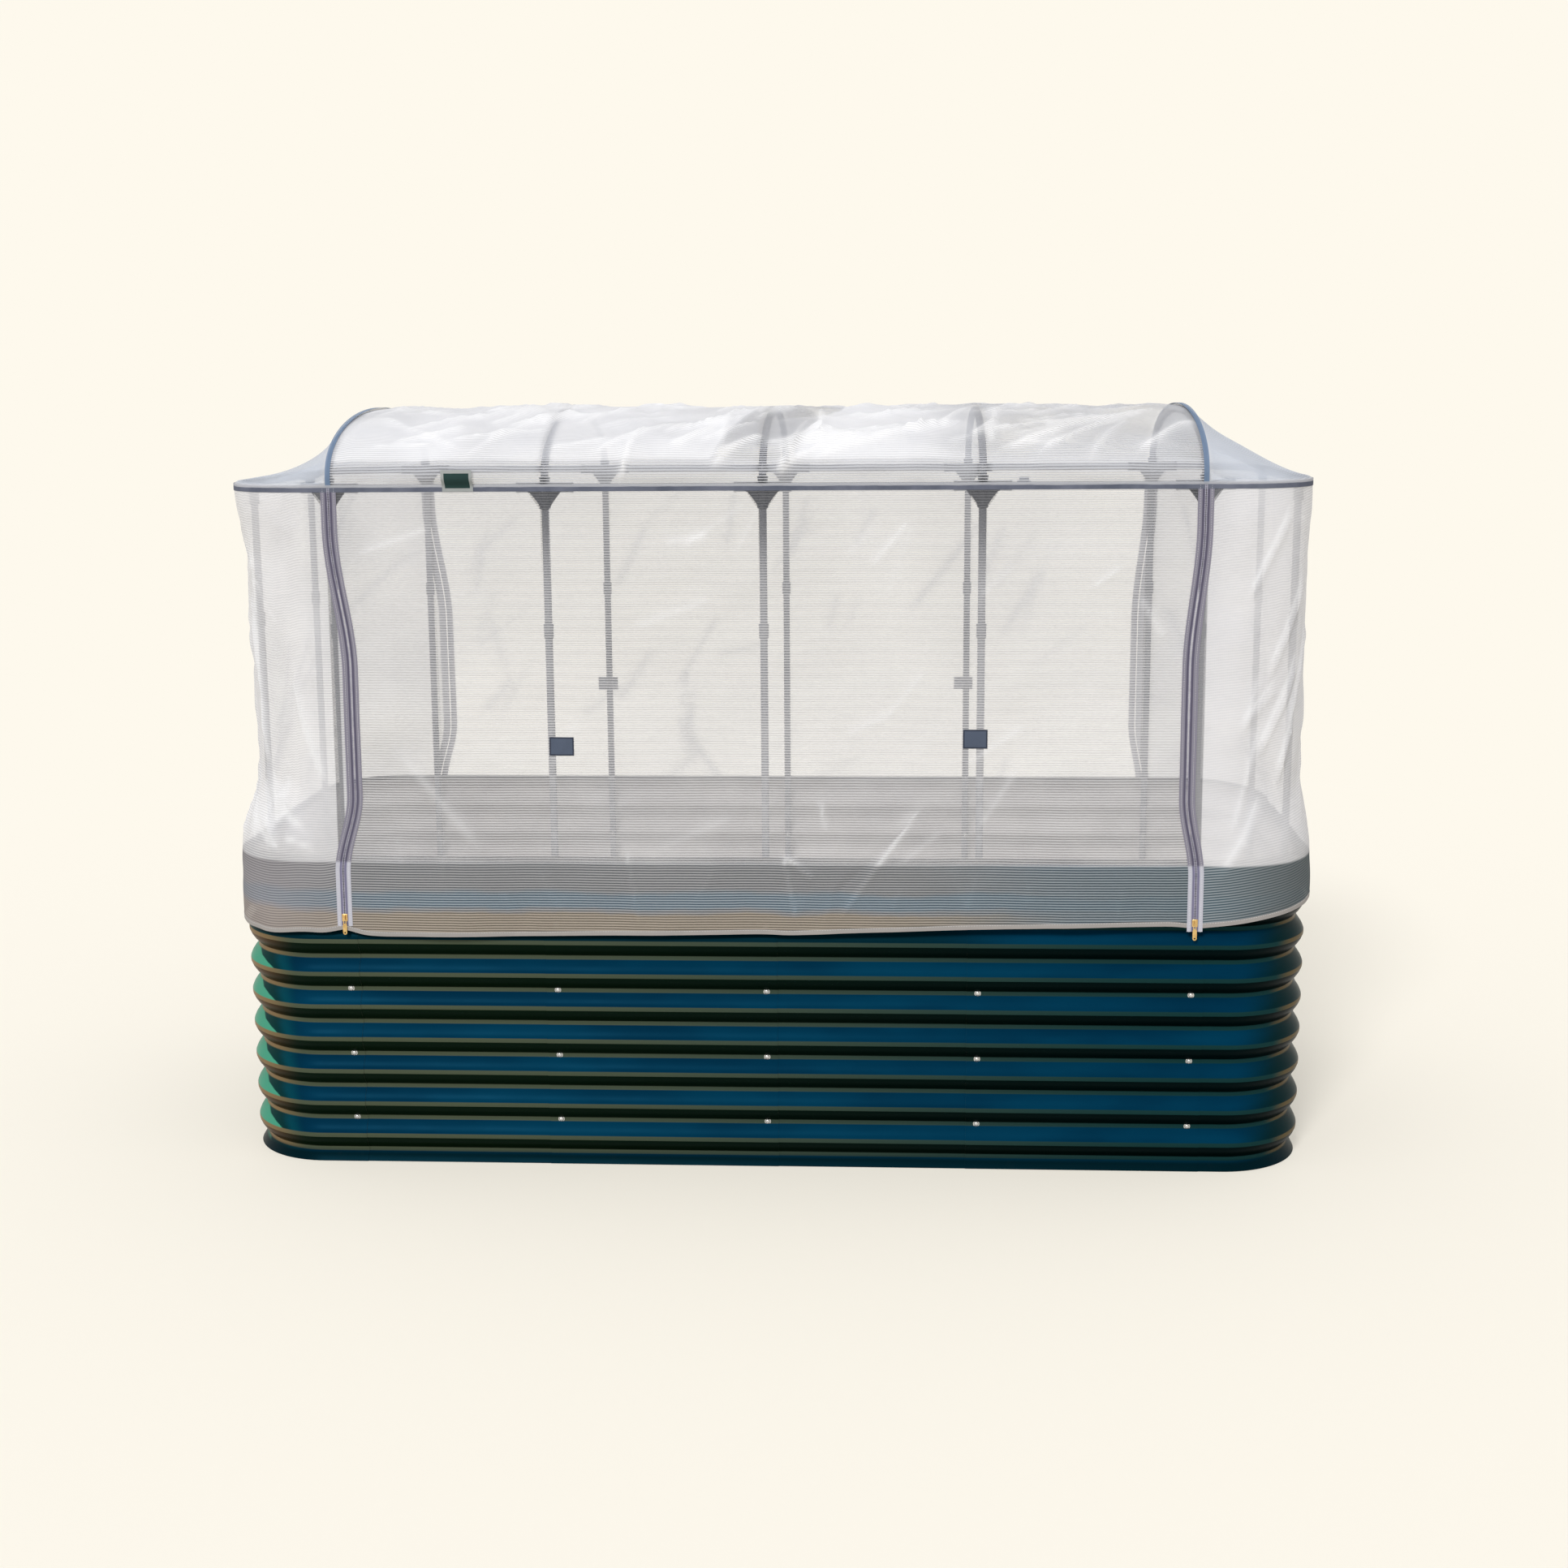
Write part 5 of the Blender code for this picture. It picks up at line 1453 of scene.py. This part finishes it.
for side in ("right", "left"):
    station = np.linspace(END_START, END_STOP, END_COLUMNS)[:, None]
    low = hem_height(side, station - END_START) + 0.002
    height = low + (RAIL - low) * np.linspace(0, 1, WALL_STEPS + 1)[None, :]
    wall = end_points(side, station, height)
    way = np.linspace(0, 1, WRAP_STEPS + HIP_STEPS + 1)[None, 1:]
    points = np.concatenate([wall, hip_points(side, station, way)], 1)
    step = np.linalg.norm(np.diff(points, axis=1), axis=-1)
    up = HEM + np.concatenate([np.zeros((END_COLUMNS, 1)), np.cumsum(step, axis=1)], 1)
    cloth = np.stack([np.broadcast_to(station, up.shape), up], -1)
    creases = creased(np.broadcast_to(station, up.shape), up, END_CREASES[side])
    density = 0.60 + 0.3 * ripple(station, up, 14, 0.12) + 0.2 * (up > RAIL)
    fold = folded(creases, 0.005, density + 0.35 * (side == "right"))
    sheet = facing_out(quad_object("sheet", points, [wall_net], cloth=cloth, fold=fold))
    piece = thickened(side + "_end_sheet", sheet, NET_THICKNESS)
    finished(piece, "bed_and_frame", "net", side + "_end_net")
    station = station[:, 0]
    low = hem_height(side, station - END_START)
    hem = sewn(side + "_end_hem_band", lambda up, out: end_points(side, station, low + up, out),
               HEM_BAND, HEM_INSIDE, HEM_OUTSIDE, hem_tape)
    finished(hem, "bed_and_frame", "hem")
    print(side, "end faces", len(piece.data.polygons))

# %% [markdown]
# ## Roof
# The roof panel lies loosely over the five hoops. It sags a little between them and is the
# most crumpled part of the cover: long creases sweep up from the rail, and small wrinkles
# fill the rest. It is one grid whose second direction runs up from the front rail, over the
# hoops and down to the rear rail.

# %% Roof sheet
ROOF_COLUMNS = 260
FOOT_STEPS, ARCH_GRID = 4, 72
EDGE_ROW, EDGE_FADE = 0.050, 0.012
HOOP_MARK = 0.011
ROOF_SAG = 0.012
ROOF_BUMPS = ((0.0065, 0.11), (0.0032, 0.045))
ROOF_CREASES = [
    (0.09, 0.045, 0.438, 0.24, 0.012, 0.010), (0.49, 0.058, 0.860, 0.37, 0.012, 0.010),
    (0.11, 0.420, 0.125, 0.06, 0.010, 0.008), (-0.075, 0.420, -0.090, 0.05, 0.008, 0.006),
    (-0.19, 0.07, -0.08, 0.24, 0.010, 0.007), (0.47, 0.07, 0.50, 0.40, 0.010, 0.007),
    (-0.86, 0.30, -0.62, 0.06, 0.012, 0.006), (-0.70, 0.20, -0.50, 0.42, 0.010, 0.007),
    (0.52, 0.22, 0.70, 0.30, 0.009, 0.006), (0.16, 0.30, 0.42, 0.36, 0.010, 0.006),
]
ROOF_CREASES += scattered(41, 90, (-0.86, 0.08), (0.86, 0.50), 1.0, 0.20, 0.0085)
ROOF_CREASES += scattered(42, 60, (-0.86, 0.54), (0.86, 0.98), 1.1, 0.22, 0.0060)


def with_feet(values, start, end):
    """The values over the arch with steady ones before and after it."""
    return np.r_[np.full(FOOT_STEPS, start), values, np.full(FOOT_STEPS, end)]


def roof_points(x):
    """The roof's points over the whole arch for each x, and the length of cloth to them."""
    turn = np.linspace(0, math.pi, ARCH_GRID + 1)
    up = np.sin(turn)
    offset = NET_WRAP + (TUBE + PLAY - NET_WRAP) * up**2
    y, z = arch(turn, offset)
    slope_y, slope_z = (a - b for a, b in zip(arch(turn, offset + 1e-3), (y, z)))
    foot_z = np.linspace(RAIL + PLAY, ARCH_FOOT, FOOT_STEPS + 1)[:-1]
    y = with_feet(y, y[0], y[-1])
    z = np.r_[foot_z, z, foot_z[::-1]]
    up = with_feet(up, 0, 0)
    slope_y = with_feet(slope_y, slope_y[0], slope_y[-1]) * 1e3
    slope_z = with_feet(slope_z, 0, 0) * 1e3
    length = np.r_[0, np.cumsum(np.hypot(np.diff(y), np.diff(z)))]
    x = np.asarray(x, float)[:, None]
    slack = swag(x, SEAM_SPACING)
    free = smooth((DOOR_HALF - np.abs(x)) / 0.05) * smooth(length / 0.03)
    free = free * smooth((length[-1] - length) / 0.03)
    soft = crumpled(x, length, 61, *ROOF_BUMPS)
    lift = soft * (0.35 + 0.65 * slack) + creased(x, length, ROOF_CREASES)
    lift = np.maximum(lift, 0) * free
    sag = ROOF_SAG * slack * smooth(up)
    spots = [np.broadcast_to(x, lift.shape), y + slope_y * lift, z + slope_z * lift - sag]
    return np.stack(spots, -1), np.broadcast_to(length, lift.shape)


x = np.linspace(-DOOR_HALF, DOOR_HALF, ROOF_COLUMNS + 1)
points, length = roof_points(x)
x = x[:, None]
# the density is raised at the left and lowered at the right and along a band; where it is low the
# roof net is more see-through and painted grey as shade
bright = 0.85 * smooth((0.40 - x) / 0.35) + 0.5 * smooth((0.20 - np.abs(x - 0.28)) / 0.12)
grey = 1.5 * smooth((0.095 - np.abs(x - 0.005 + 0.25 * (0.15 - length))) / 0.02)
dull = 0.45 * smooth((x - 0.42) / 0.18)
on_slope = smooth((length - EDGE_ROW) / EDGE_FADE)
on_slope = on_slope * smooth((length[0, -1] - EDGE_ROW - length) / EDGE_FADE)
density = on_slope * (0.10 + bright - grey - dull) + 0.45 * ripple(x, length, 63, 0.10) * on_slope
from_hoop = np.abs((x / SEAM_SPACING + 0.5) % 1 - 0.5) * SEAM_SPACING
density = density - 0.9 * np.exp(-(from_hoop / HOOP_MARK) ** 2)
fold = folded(creased(x, length, ROOF_CREASES), 0.006, density)
cloth = np.stack([points[..., 0], length], -1)
sheet = quad_object("sheet", points, [roof_netting], cloth=cloth, fold=fold)
roof = thickened("roof_sheet", facing_out(sheet), NET_THICKNESS)
finished(roof, "bed_and_frame", "net", "roof_net")
print("roof faces", len(roof.data.polygons), "cloth across", round(float(length[0, -1]), 3), "m")

# %% [markdown]
# ## Bindings
# Slate blue tape covers the seams of the cover: one band arches over each end hoop, and one
# runs round the whole ring at the rail, where roof, doors and ends meet.

# %% Arch and rail bindings
BINDING, BINDING_LIFT = 0.0006, 0.0011
ARCH_TAPE, RAIL_TAPE = 0.011, 0.015


def arch_line(offset):
    """y and z over the arch at an offset, with feet straight down to the rail binding."""
    y, z = arch(np.linspace(0, math.pi, 61), offset)
    return np.r_[y[0], y, y[-1]], np.r_[RAIL + 0.004, z, RAIL + 0.004]


y, z = arch_line(NET_WRAP + BINDING_LIFT)
far_y, far_z = arch_line(NET_WRAP + BINDING_LIFT + BINDING)
out = np.stack([np.zeros(len(y)), far_y - y, far_z - z], -1)
for side, sign in (("left", -1), ("right", 1)):
    edge = np.stack([np.full(len(y), sign * LONG_HALF - ARCH_TAPE / 2), y, z], -1)
    across = np.broadcast_to([ARCH_TAPE, 0.0, 0.0], edge.shape)
    finished(band(side + "_arch_binding", edge, across, out, arch_tape), "bed_and_frame", "net")

stations = np.array(bends(0.0, 4 * QUARTER))
x, y, out_x, out_y = plan(stations, NET_TOP + 0.0012)
edge = np.stack([x, y, np.full(len(x), RAIL - RAIL_TAPE / 2)], -1)
across = np.broadcast_to([0.0, 0.0, RAIL_TAPE], edge.shape)
out = BINDING * np.stack([out_x, out_y, np.zeros(len(x))], -1)
finished(band("rail_binding", edge, across, out, rail_tape), "bed_and_frame", "net")

# %% [markdown]
# ## Zips
# Each zip has a door half and an end half. A half is a tape with a dark woven core and a
# paler outer half, a row of coil teeth along its inner edge and a row of stitches. Teeth and
# stitches come from one tree that repeats a small rounded grain along a path.

# %% Repeat along a path
t, given = geometry_tree("Repeat along a path", {
    "Spacing": "Float", "Size": "Vector", "Material": "Material"})
curve = t.node("GeometryNodeMeshToCurve", given)
places = t.node("GeometryNodeResampleCurve", mode="LENGTH", Curve=curve,
                Length=given.out("Spacing"))
grain = t.node("GeometryNodeMeshUVSphere", Segments=6, Rings=4, Radius=0.5)
grain = t.node("GeometryNodeTransform", Geometry=grain, Scale=given.out("Size"))
outward = t.node("GeometryNodeInputNamedAttribute", data_type="FLOAT_VECTOR", Name="outward")
ahead = t.node("GeometryNodeInputTangent")
turn = t.node("FunctionNodeAlignRotationToVector", axis="Z", Vector=ahead)
turn = t.node("FunctionNodeAlignRotationToVector", axis="Y", pivot_axis="Z", Rotation=turn,
              Vector=outward)
grains = t.node("GeometryNodeInstanceOnPoints", Points=places, Instance=grain, Rotation=turn)
end_tree(t, grains, given.out("Material"))
repeat_tree = t


def repeated(name, points, outward, spacing, size, finish):
    """Small rounded grains along a path: size is across, out and along it."""
    edges = [(k, k + 1) for k in range(len(points) - 1)]
    path = directed(name, points, edges, outward=np.broadcast_to(outward, np.shape(points)))
    return grown(name, path, repeat_tree, Spacing=spacing, Size=size, Material=finish)


# %% Zip halves
ZIP_WIDTH = 0.0150
TAPE_INSIDE, TAPE_OUTSIDE = 0.0009, 0.0015
TOOTH, TOOTH_PITCH, TOOTH_OUT = (0.0030, 0.0014, 0.0021), 0.0026, 0.0018
STITCH, STITCH_PITCH, STITCH_OUT = (0.0007, 0.0006, 0.0034), 0.0050, 0.0016
SELVAGE_STITCH = 0.0105
zip_levels = np.linspace(HEM + 0.002, RAIL - PLAY, 95)
for row in ("front", "rear"):
    facing = -1.0 if row == "front" else 1.0
    outward = np.array([0.0, facing, 0.0])
    for side, sign in (("left", -1), ("right", 1)):
        def door_line(inward, out):
            return door_points(row, sign * (1 - inward / DOOR_HALF), zip_levels, out)

        def end_line(inward, out):
            station = END_START + inward if row == "front" else END_STOP - inward
            return end_points(side, station, zip_levels, out)

        halves = (("door", door_line, row + "_door"), ("end", end_line, "bed_and_frame"))
        for half, line, body in halves:
            name = f"{row}_{side}_zip_{half}"
            tape = sewn(name + "_tape", line, ZIP_WIDTH, TAPE_INSIDE, TAPE_OUTSIDE, zip_tape)
            teeth = repeated(name + "_teeth", line(0.0002, TOOTH_OUT), outward,
                             TOOTH_PITCH, TOOTH, coil_nylon)
            stitches = repeated(name + "_stitches", line(SELVAGE_STITCH, STITCH_OUT), outward,
                                STITCH_PITCH, STITCH, thread)
            for piece, slot in ((tape, "net"), (teeth, "zip_metal"), (stitches, "net")):
                finished(piece, body, slot)
                if half == "door":
                    rolls_up(piece, row)
print("zip halves 8, teeth faces", len(teeth.data.polygons))

# %% Stitches on the hems
HEM_STITCH, HEM_STITCH_PITCH = (0.0007, 0.0006, 0.0038), 0.0055
HEM_STITCH_UP, HEM_STITCH_OUT = 0.0085, 0.0015


def hem_stitches(name, points, outward, body):
    line = repeated(name, points, outward, HEM_STITCH_PITCH, HEM_STITCH, thread)
    finished(line, body, "hem")


for row in ("front", "rear"):
    share = np.linspace(-0.996, 0.996, 181)
    level = hem_height(row, share * DOOR_HALF) + HEM_STITCH_UP
    points = door_points(row, share, level, HEM_STITCH_OUT)
    outward = np.array([0.0, -1.0 if row == "front" else 1.0, 0.0])
    hem_stitches(row + "_hem_stitches", points, outward, row + "_door")
for side in ("left", "right"):
    station = np.linspace(END_START + 0.004, END_STOP - 0.004, 161)
    level = hem_height(side, station - END_START) + HEM_STITCH_UP
    points = end_points(side, station, level, HEM_STITCH_OUT)
    _, _, out_x, out_y = plan(station, NET_TOP)
    outward = np.stack([out_x if side == "right" else -out_x, out_y, 0 * out_x], -1)
    hem_stitches(side + "_end_hem_stitches", points, outward, "bed_and_frame")

# %% [markdown]
# ## Patches, label and clip
# Two reinforcing patches sit on each door panel, a bare woven label is sewn over the rail
# seam, and a small snap clip holds the net to the front rail.

# %% Cloth patches
def patch(name, points, finishes, border, cloth):
    """A small sheet with a border of another cloth."""
    made = quad_object(name, points, finishes, cloth=cloth)
    low, high = cloth.reshape(-1, 2).min(0), cloth.reshape(-1, 2).max(0)
    layer = made.data.uv_layers["cloth"].data
    for face in made.data.polygons:
        middle = np.mean([layer[k].uv for k in face.loop_indices], axis=0)
        if min(*(middle - low), *(high - middle)) < border:
            face.material_index = 1
    return made


PATCH_BORDER, LABEL_BORDER = 0.0035, 0.0062
PATCH_LIFT = PATCH_THICKNESS = 0.0010
# the side, left, right, low and high edge of each patch
DOOR_PATCHES = {
    "front": [("left", -0.457, -0.405, 0.918, 0.957), ("right", 0.420, 0.471, 0.935, 0.975)],
    "rear": [("left", -0.490, -0.440, 0.915, 0.948), ("right", 0.427, 0.474, 0.917, 0.949)],
}
for row, spots in DOOR_PATCHES.items():
    for side, x0, x1, z0, z1 in spots:
        level = np.linspace(z0, z1, 14)[None, :]
        x = np.linspace(x0, x1, 18)[:, None]
        share = x / door_half(level, x)
        points = door_points(row, share, np.broadcast_to(level, share.shape), PATCH_LIFT)
        cloth = np.stack([points[..., 0], points[..., 2]], -1)
        flat = patch("patch", points, [patch_cloth, patch_edge], PATCH_BORDER, cloth)
        piece = thickened(f"{row}_{side}_patch", facing_out(flat), PATCH_THICKNESS)
        finished(piece, row + "_door", "net")
        rolls_up(piece, row)

# %% Label
LABEL_LEFT, LABEL_RIGHT, LABEL_LOW, LABEL_HIGH = -0.671, -0.606, 1.475, 1.520
LABEL_LIFT, LABEL_BULGE, LABEL_LEAN = 0.0022, 0.0012, 0.012
x = np.linspace(LABEL_LEFT, LABEL_RIGHT, 22)[:, None]
z = np.linspace(LABEL_LOW, LABEL_HIGH, 14)[None, :]
arc_x = np.sin(math.pi * (x - LABEL_LEFT) / (LABEL_RIGHT - LABEL_LEFT))
arc_z = np.sin(math.pi * (z - LABEL_LOW) / (LABEL_HIGH - LABEL_LOW))
lean = LABEL_LEAN * smooth((z - RAIL - 0.002) / 0.020)
y = -(CORNER_Y + NET_TOP + LABEL_LIFT) - LABEL_BULGE * arc_x * arc_z - lean
points = np.stack(np.broadcast_arrays(x, y, z), -1)
flat = patch("label", points, [label_cloth, label_edge], LABEL_BORDER, points[..., [0, 2]])
finished(thickened("bare_label", facing_out(flat), NET_THICKNESS), "bed_and_frame", "net")

# %% Rail clip
CLIP_LEFT, CLIP_RIGHT, CLIP_RADIUS = 0.528, 0.555, 0.0104
TAB_SIZE = (0.020, 0.006, 0.011)
angle = np.linspace(math.radians(-50), math.radians(230), 25)
ring = np.array([(CLIP_RADIUS * math.cos(a), CLIP_RADIUS * math.sin(a)) for a in angle]
                + [((TUBE + PLAY) * math.cos(a), (TUBE + PLAY) * math.sin(a)) for a in angle[::-1]])
points = np.stack([np.c_[np.full(len(ring), x), -ARCH_HALF - ring[:, 0], RAIL + ring[:, 1]]
                   for x in (CLIP_LEFT, CLIP_RIGHT)])
clip = quad_object("clip", points, [clip_plastic], closed_section=True)


def with_tab(cells):
    bmesh.ops.holes_fill(cells, edges=[e for e in cells.edges if e.is_boundary])
    tab = bmesh.ops.create_cube(cells, size=1.0)["verts"]
    at = ((CLIP_LEFT + CLIP_RIGHT) / 2, -ARCH_HALF - 0.0045, RAIL + 0.0130)
    bmesh.ops.scale(cells, vec=TAB_SIZE, verts=tab)
    bmesh.ops.translate(cells, vec=at, verts=tab)
    bmesh.ops.recalc_face_normals(cells, faces=cells.faces)


edited(clip.data, with_tab)
eased(clip, 0.0006, 40)
finished(plain("rail_clip", clip), "bed_and_frame", "tube")

# %% [markdown]
# ## Sliders and pulls
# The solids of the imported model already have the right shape, so they stay. A weld joins
# their loose triangles, and a small bevel gives the cast edges that catch the light.

# %% Slider finish
for row in ("front", "rear"):
    for side in ("left", "right"):
        for part, width in (("slider", 0.0003), ("pull", 0.0002)):
            node = frame["nodes"][f"{row}_{side}_{part}"]
            node.material_slots[0].material = gold
            weld = node.modifiers.new("Weld", "WELD")
            weld.merge_threshold = 1e-5
            eased(node, width, 40)

# %% [markdown]
# ## Hem pieces
# The band and stitches of each hem are looked up by name.

for row in ("front", "rear"):
    hem_pieces = [bpy.data.objects[row + "_hem_" + part] for part in ("band", "stitches")]
for side in ("left", "right"):
    hem_pieces = [bpy.data.objects[side + "_end_hem_" + part] for part in ("band", "stitches")]
    side + "_end_rail_tube"

# %% [markdown]
# ## Floor and light
# A plain pale floor runs to the horizon and meets a background of its own colour. The world
# gives even light, and one large soft sun from the front left gives the steel its sheen and
# the wrinkles their shading. Together they light an upward face to about its own colour.

# %% Floor and world
CREAM = (0.991, 0.947, 0.847)
WORLD_LIGHT = 0.68
SUN_STRENGTH = 1.54
FLOOR_SHARE = 0.65
SUN_HEIGHT, SUN_LEFT, SUN_WIDTH = math.radians(40), math.radians(18), math.radians(14)
FLOOR_FADE = (2.6, 4.5)
floor_light = WORLD_LIGHT + SUN_STRENGTH * math.sin(SUN_HEIGHT) / math.pi


def looked_along(t):
    """1 for a ray that shows what it meets, 0 for one that only brings light."""
    paths = t.node("ShaderNodeLightPath")
    mirrored = paths.out("Is Glossy Ray")
    return paths.out("Is Camera Ray").at_least(mirrored).at_least(paths.out("Is Transmission Ray"))


floor_mesh = bpy.data.meshes.new("floor")
corners = [(x, y, -0.001) for x, y in ((-40, -40), (40, -40), (40, 60), (-40, 60))]
floor_mesh.from_pydata(corners, [], [(0, 1, 2, 3)])
floor = linked("floor", floor_mesh)
made = bpy.data.materials.new("pale floor")
made.use_nodes = True
made.node_tree.nodes.clear()
t = Tree(made.node_tree)
where = t.place()
x, y, _ = t.parts(where)
far = (x * x + y * y).power(0.5).step(*FLOOR_FADE)
seen = looked_along(t)
matt = t.node("ShaderNodeBsdfDiffuse", Color=[FLOOR_SHARE * value for value in CREAM])
lamp = t.node("ShaderNodeEmission", Color=CREAM, Strength=seen * (1 - FLOOR_SHARE * floor_light))
near = t.node("ShaderNodeAddShader", matt, lamp)
plain_cream = t.node("ShaderNodeEmission", Color=CREAM, Strength=1.0)
mixed = t.node("ShaderNodeMixShader", far * seen, near, plain_cream)
t.node("ShaderNodeOutputMaterial", Surface=mixed)
floor_mesh.materials.append(made)

world = bpy.data.worlds.new("studio")
bpy.context.scene.world = world
world.use_nodes = True
world.node_tree.nodes.clear()
t = Tree(world.node_tree)
seen = looked_along(t)
lit = t.node("ShaderNodeBackground", Color=(1.0, 1.0, 1.0), Strength=WORLD_LIGHT)
shown = t.node("ShaderNodeBackground", Color=CREAM, Strength=1.0)
t.node("ShaderNodeOutputWorld", Surface=t.node("ShaderNodeMixShader", seen, lit, shown))

# %% Sun
sun_data = bpy.data.lights.new("soft sun", "SUN")
sun_data.energy = SUN_STRENGTH
sun_data.angle = SUN_WIDTH
sun = bpy.data.objects.new("soft sun", sun_data)
collection.objects.link(sun)
level_part = math.cos(SUN_HEIGHT)
toward = Vector((-math.sin(SUN_LEFT) * level_part, -math.cos(SUN_LEFT) * level_part,
                 math.sin(SUN_HEIGHT)))
sun.matrix_world = toward.to_track_quat("Z", "Y").to_matrix().to_4x4()
bpy.context.scene.view_settings.view_transform = "Standard"
print("floor light", round(floor_light, 3))
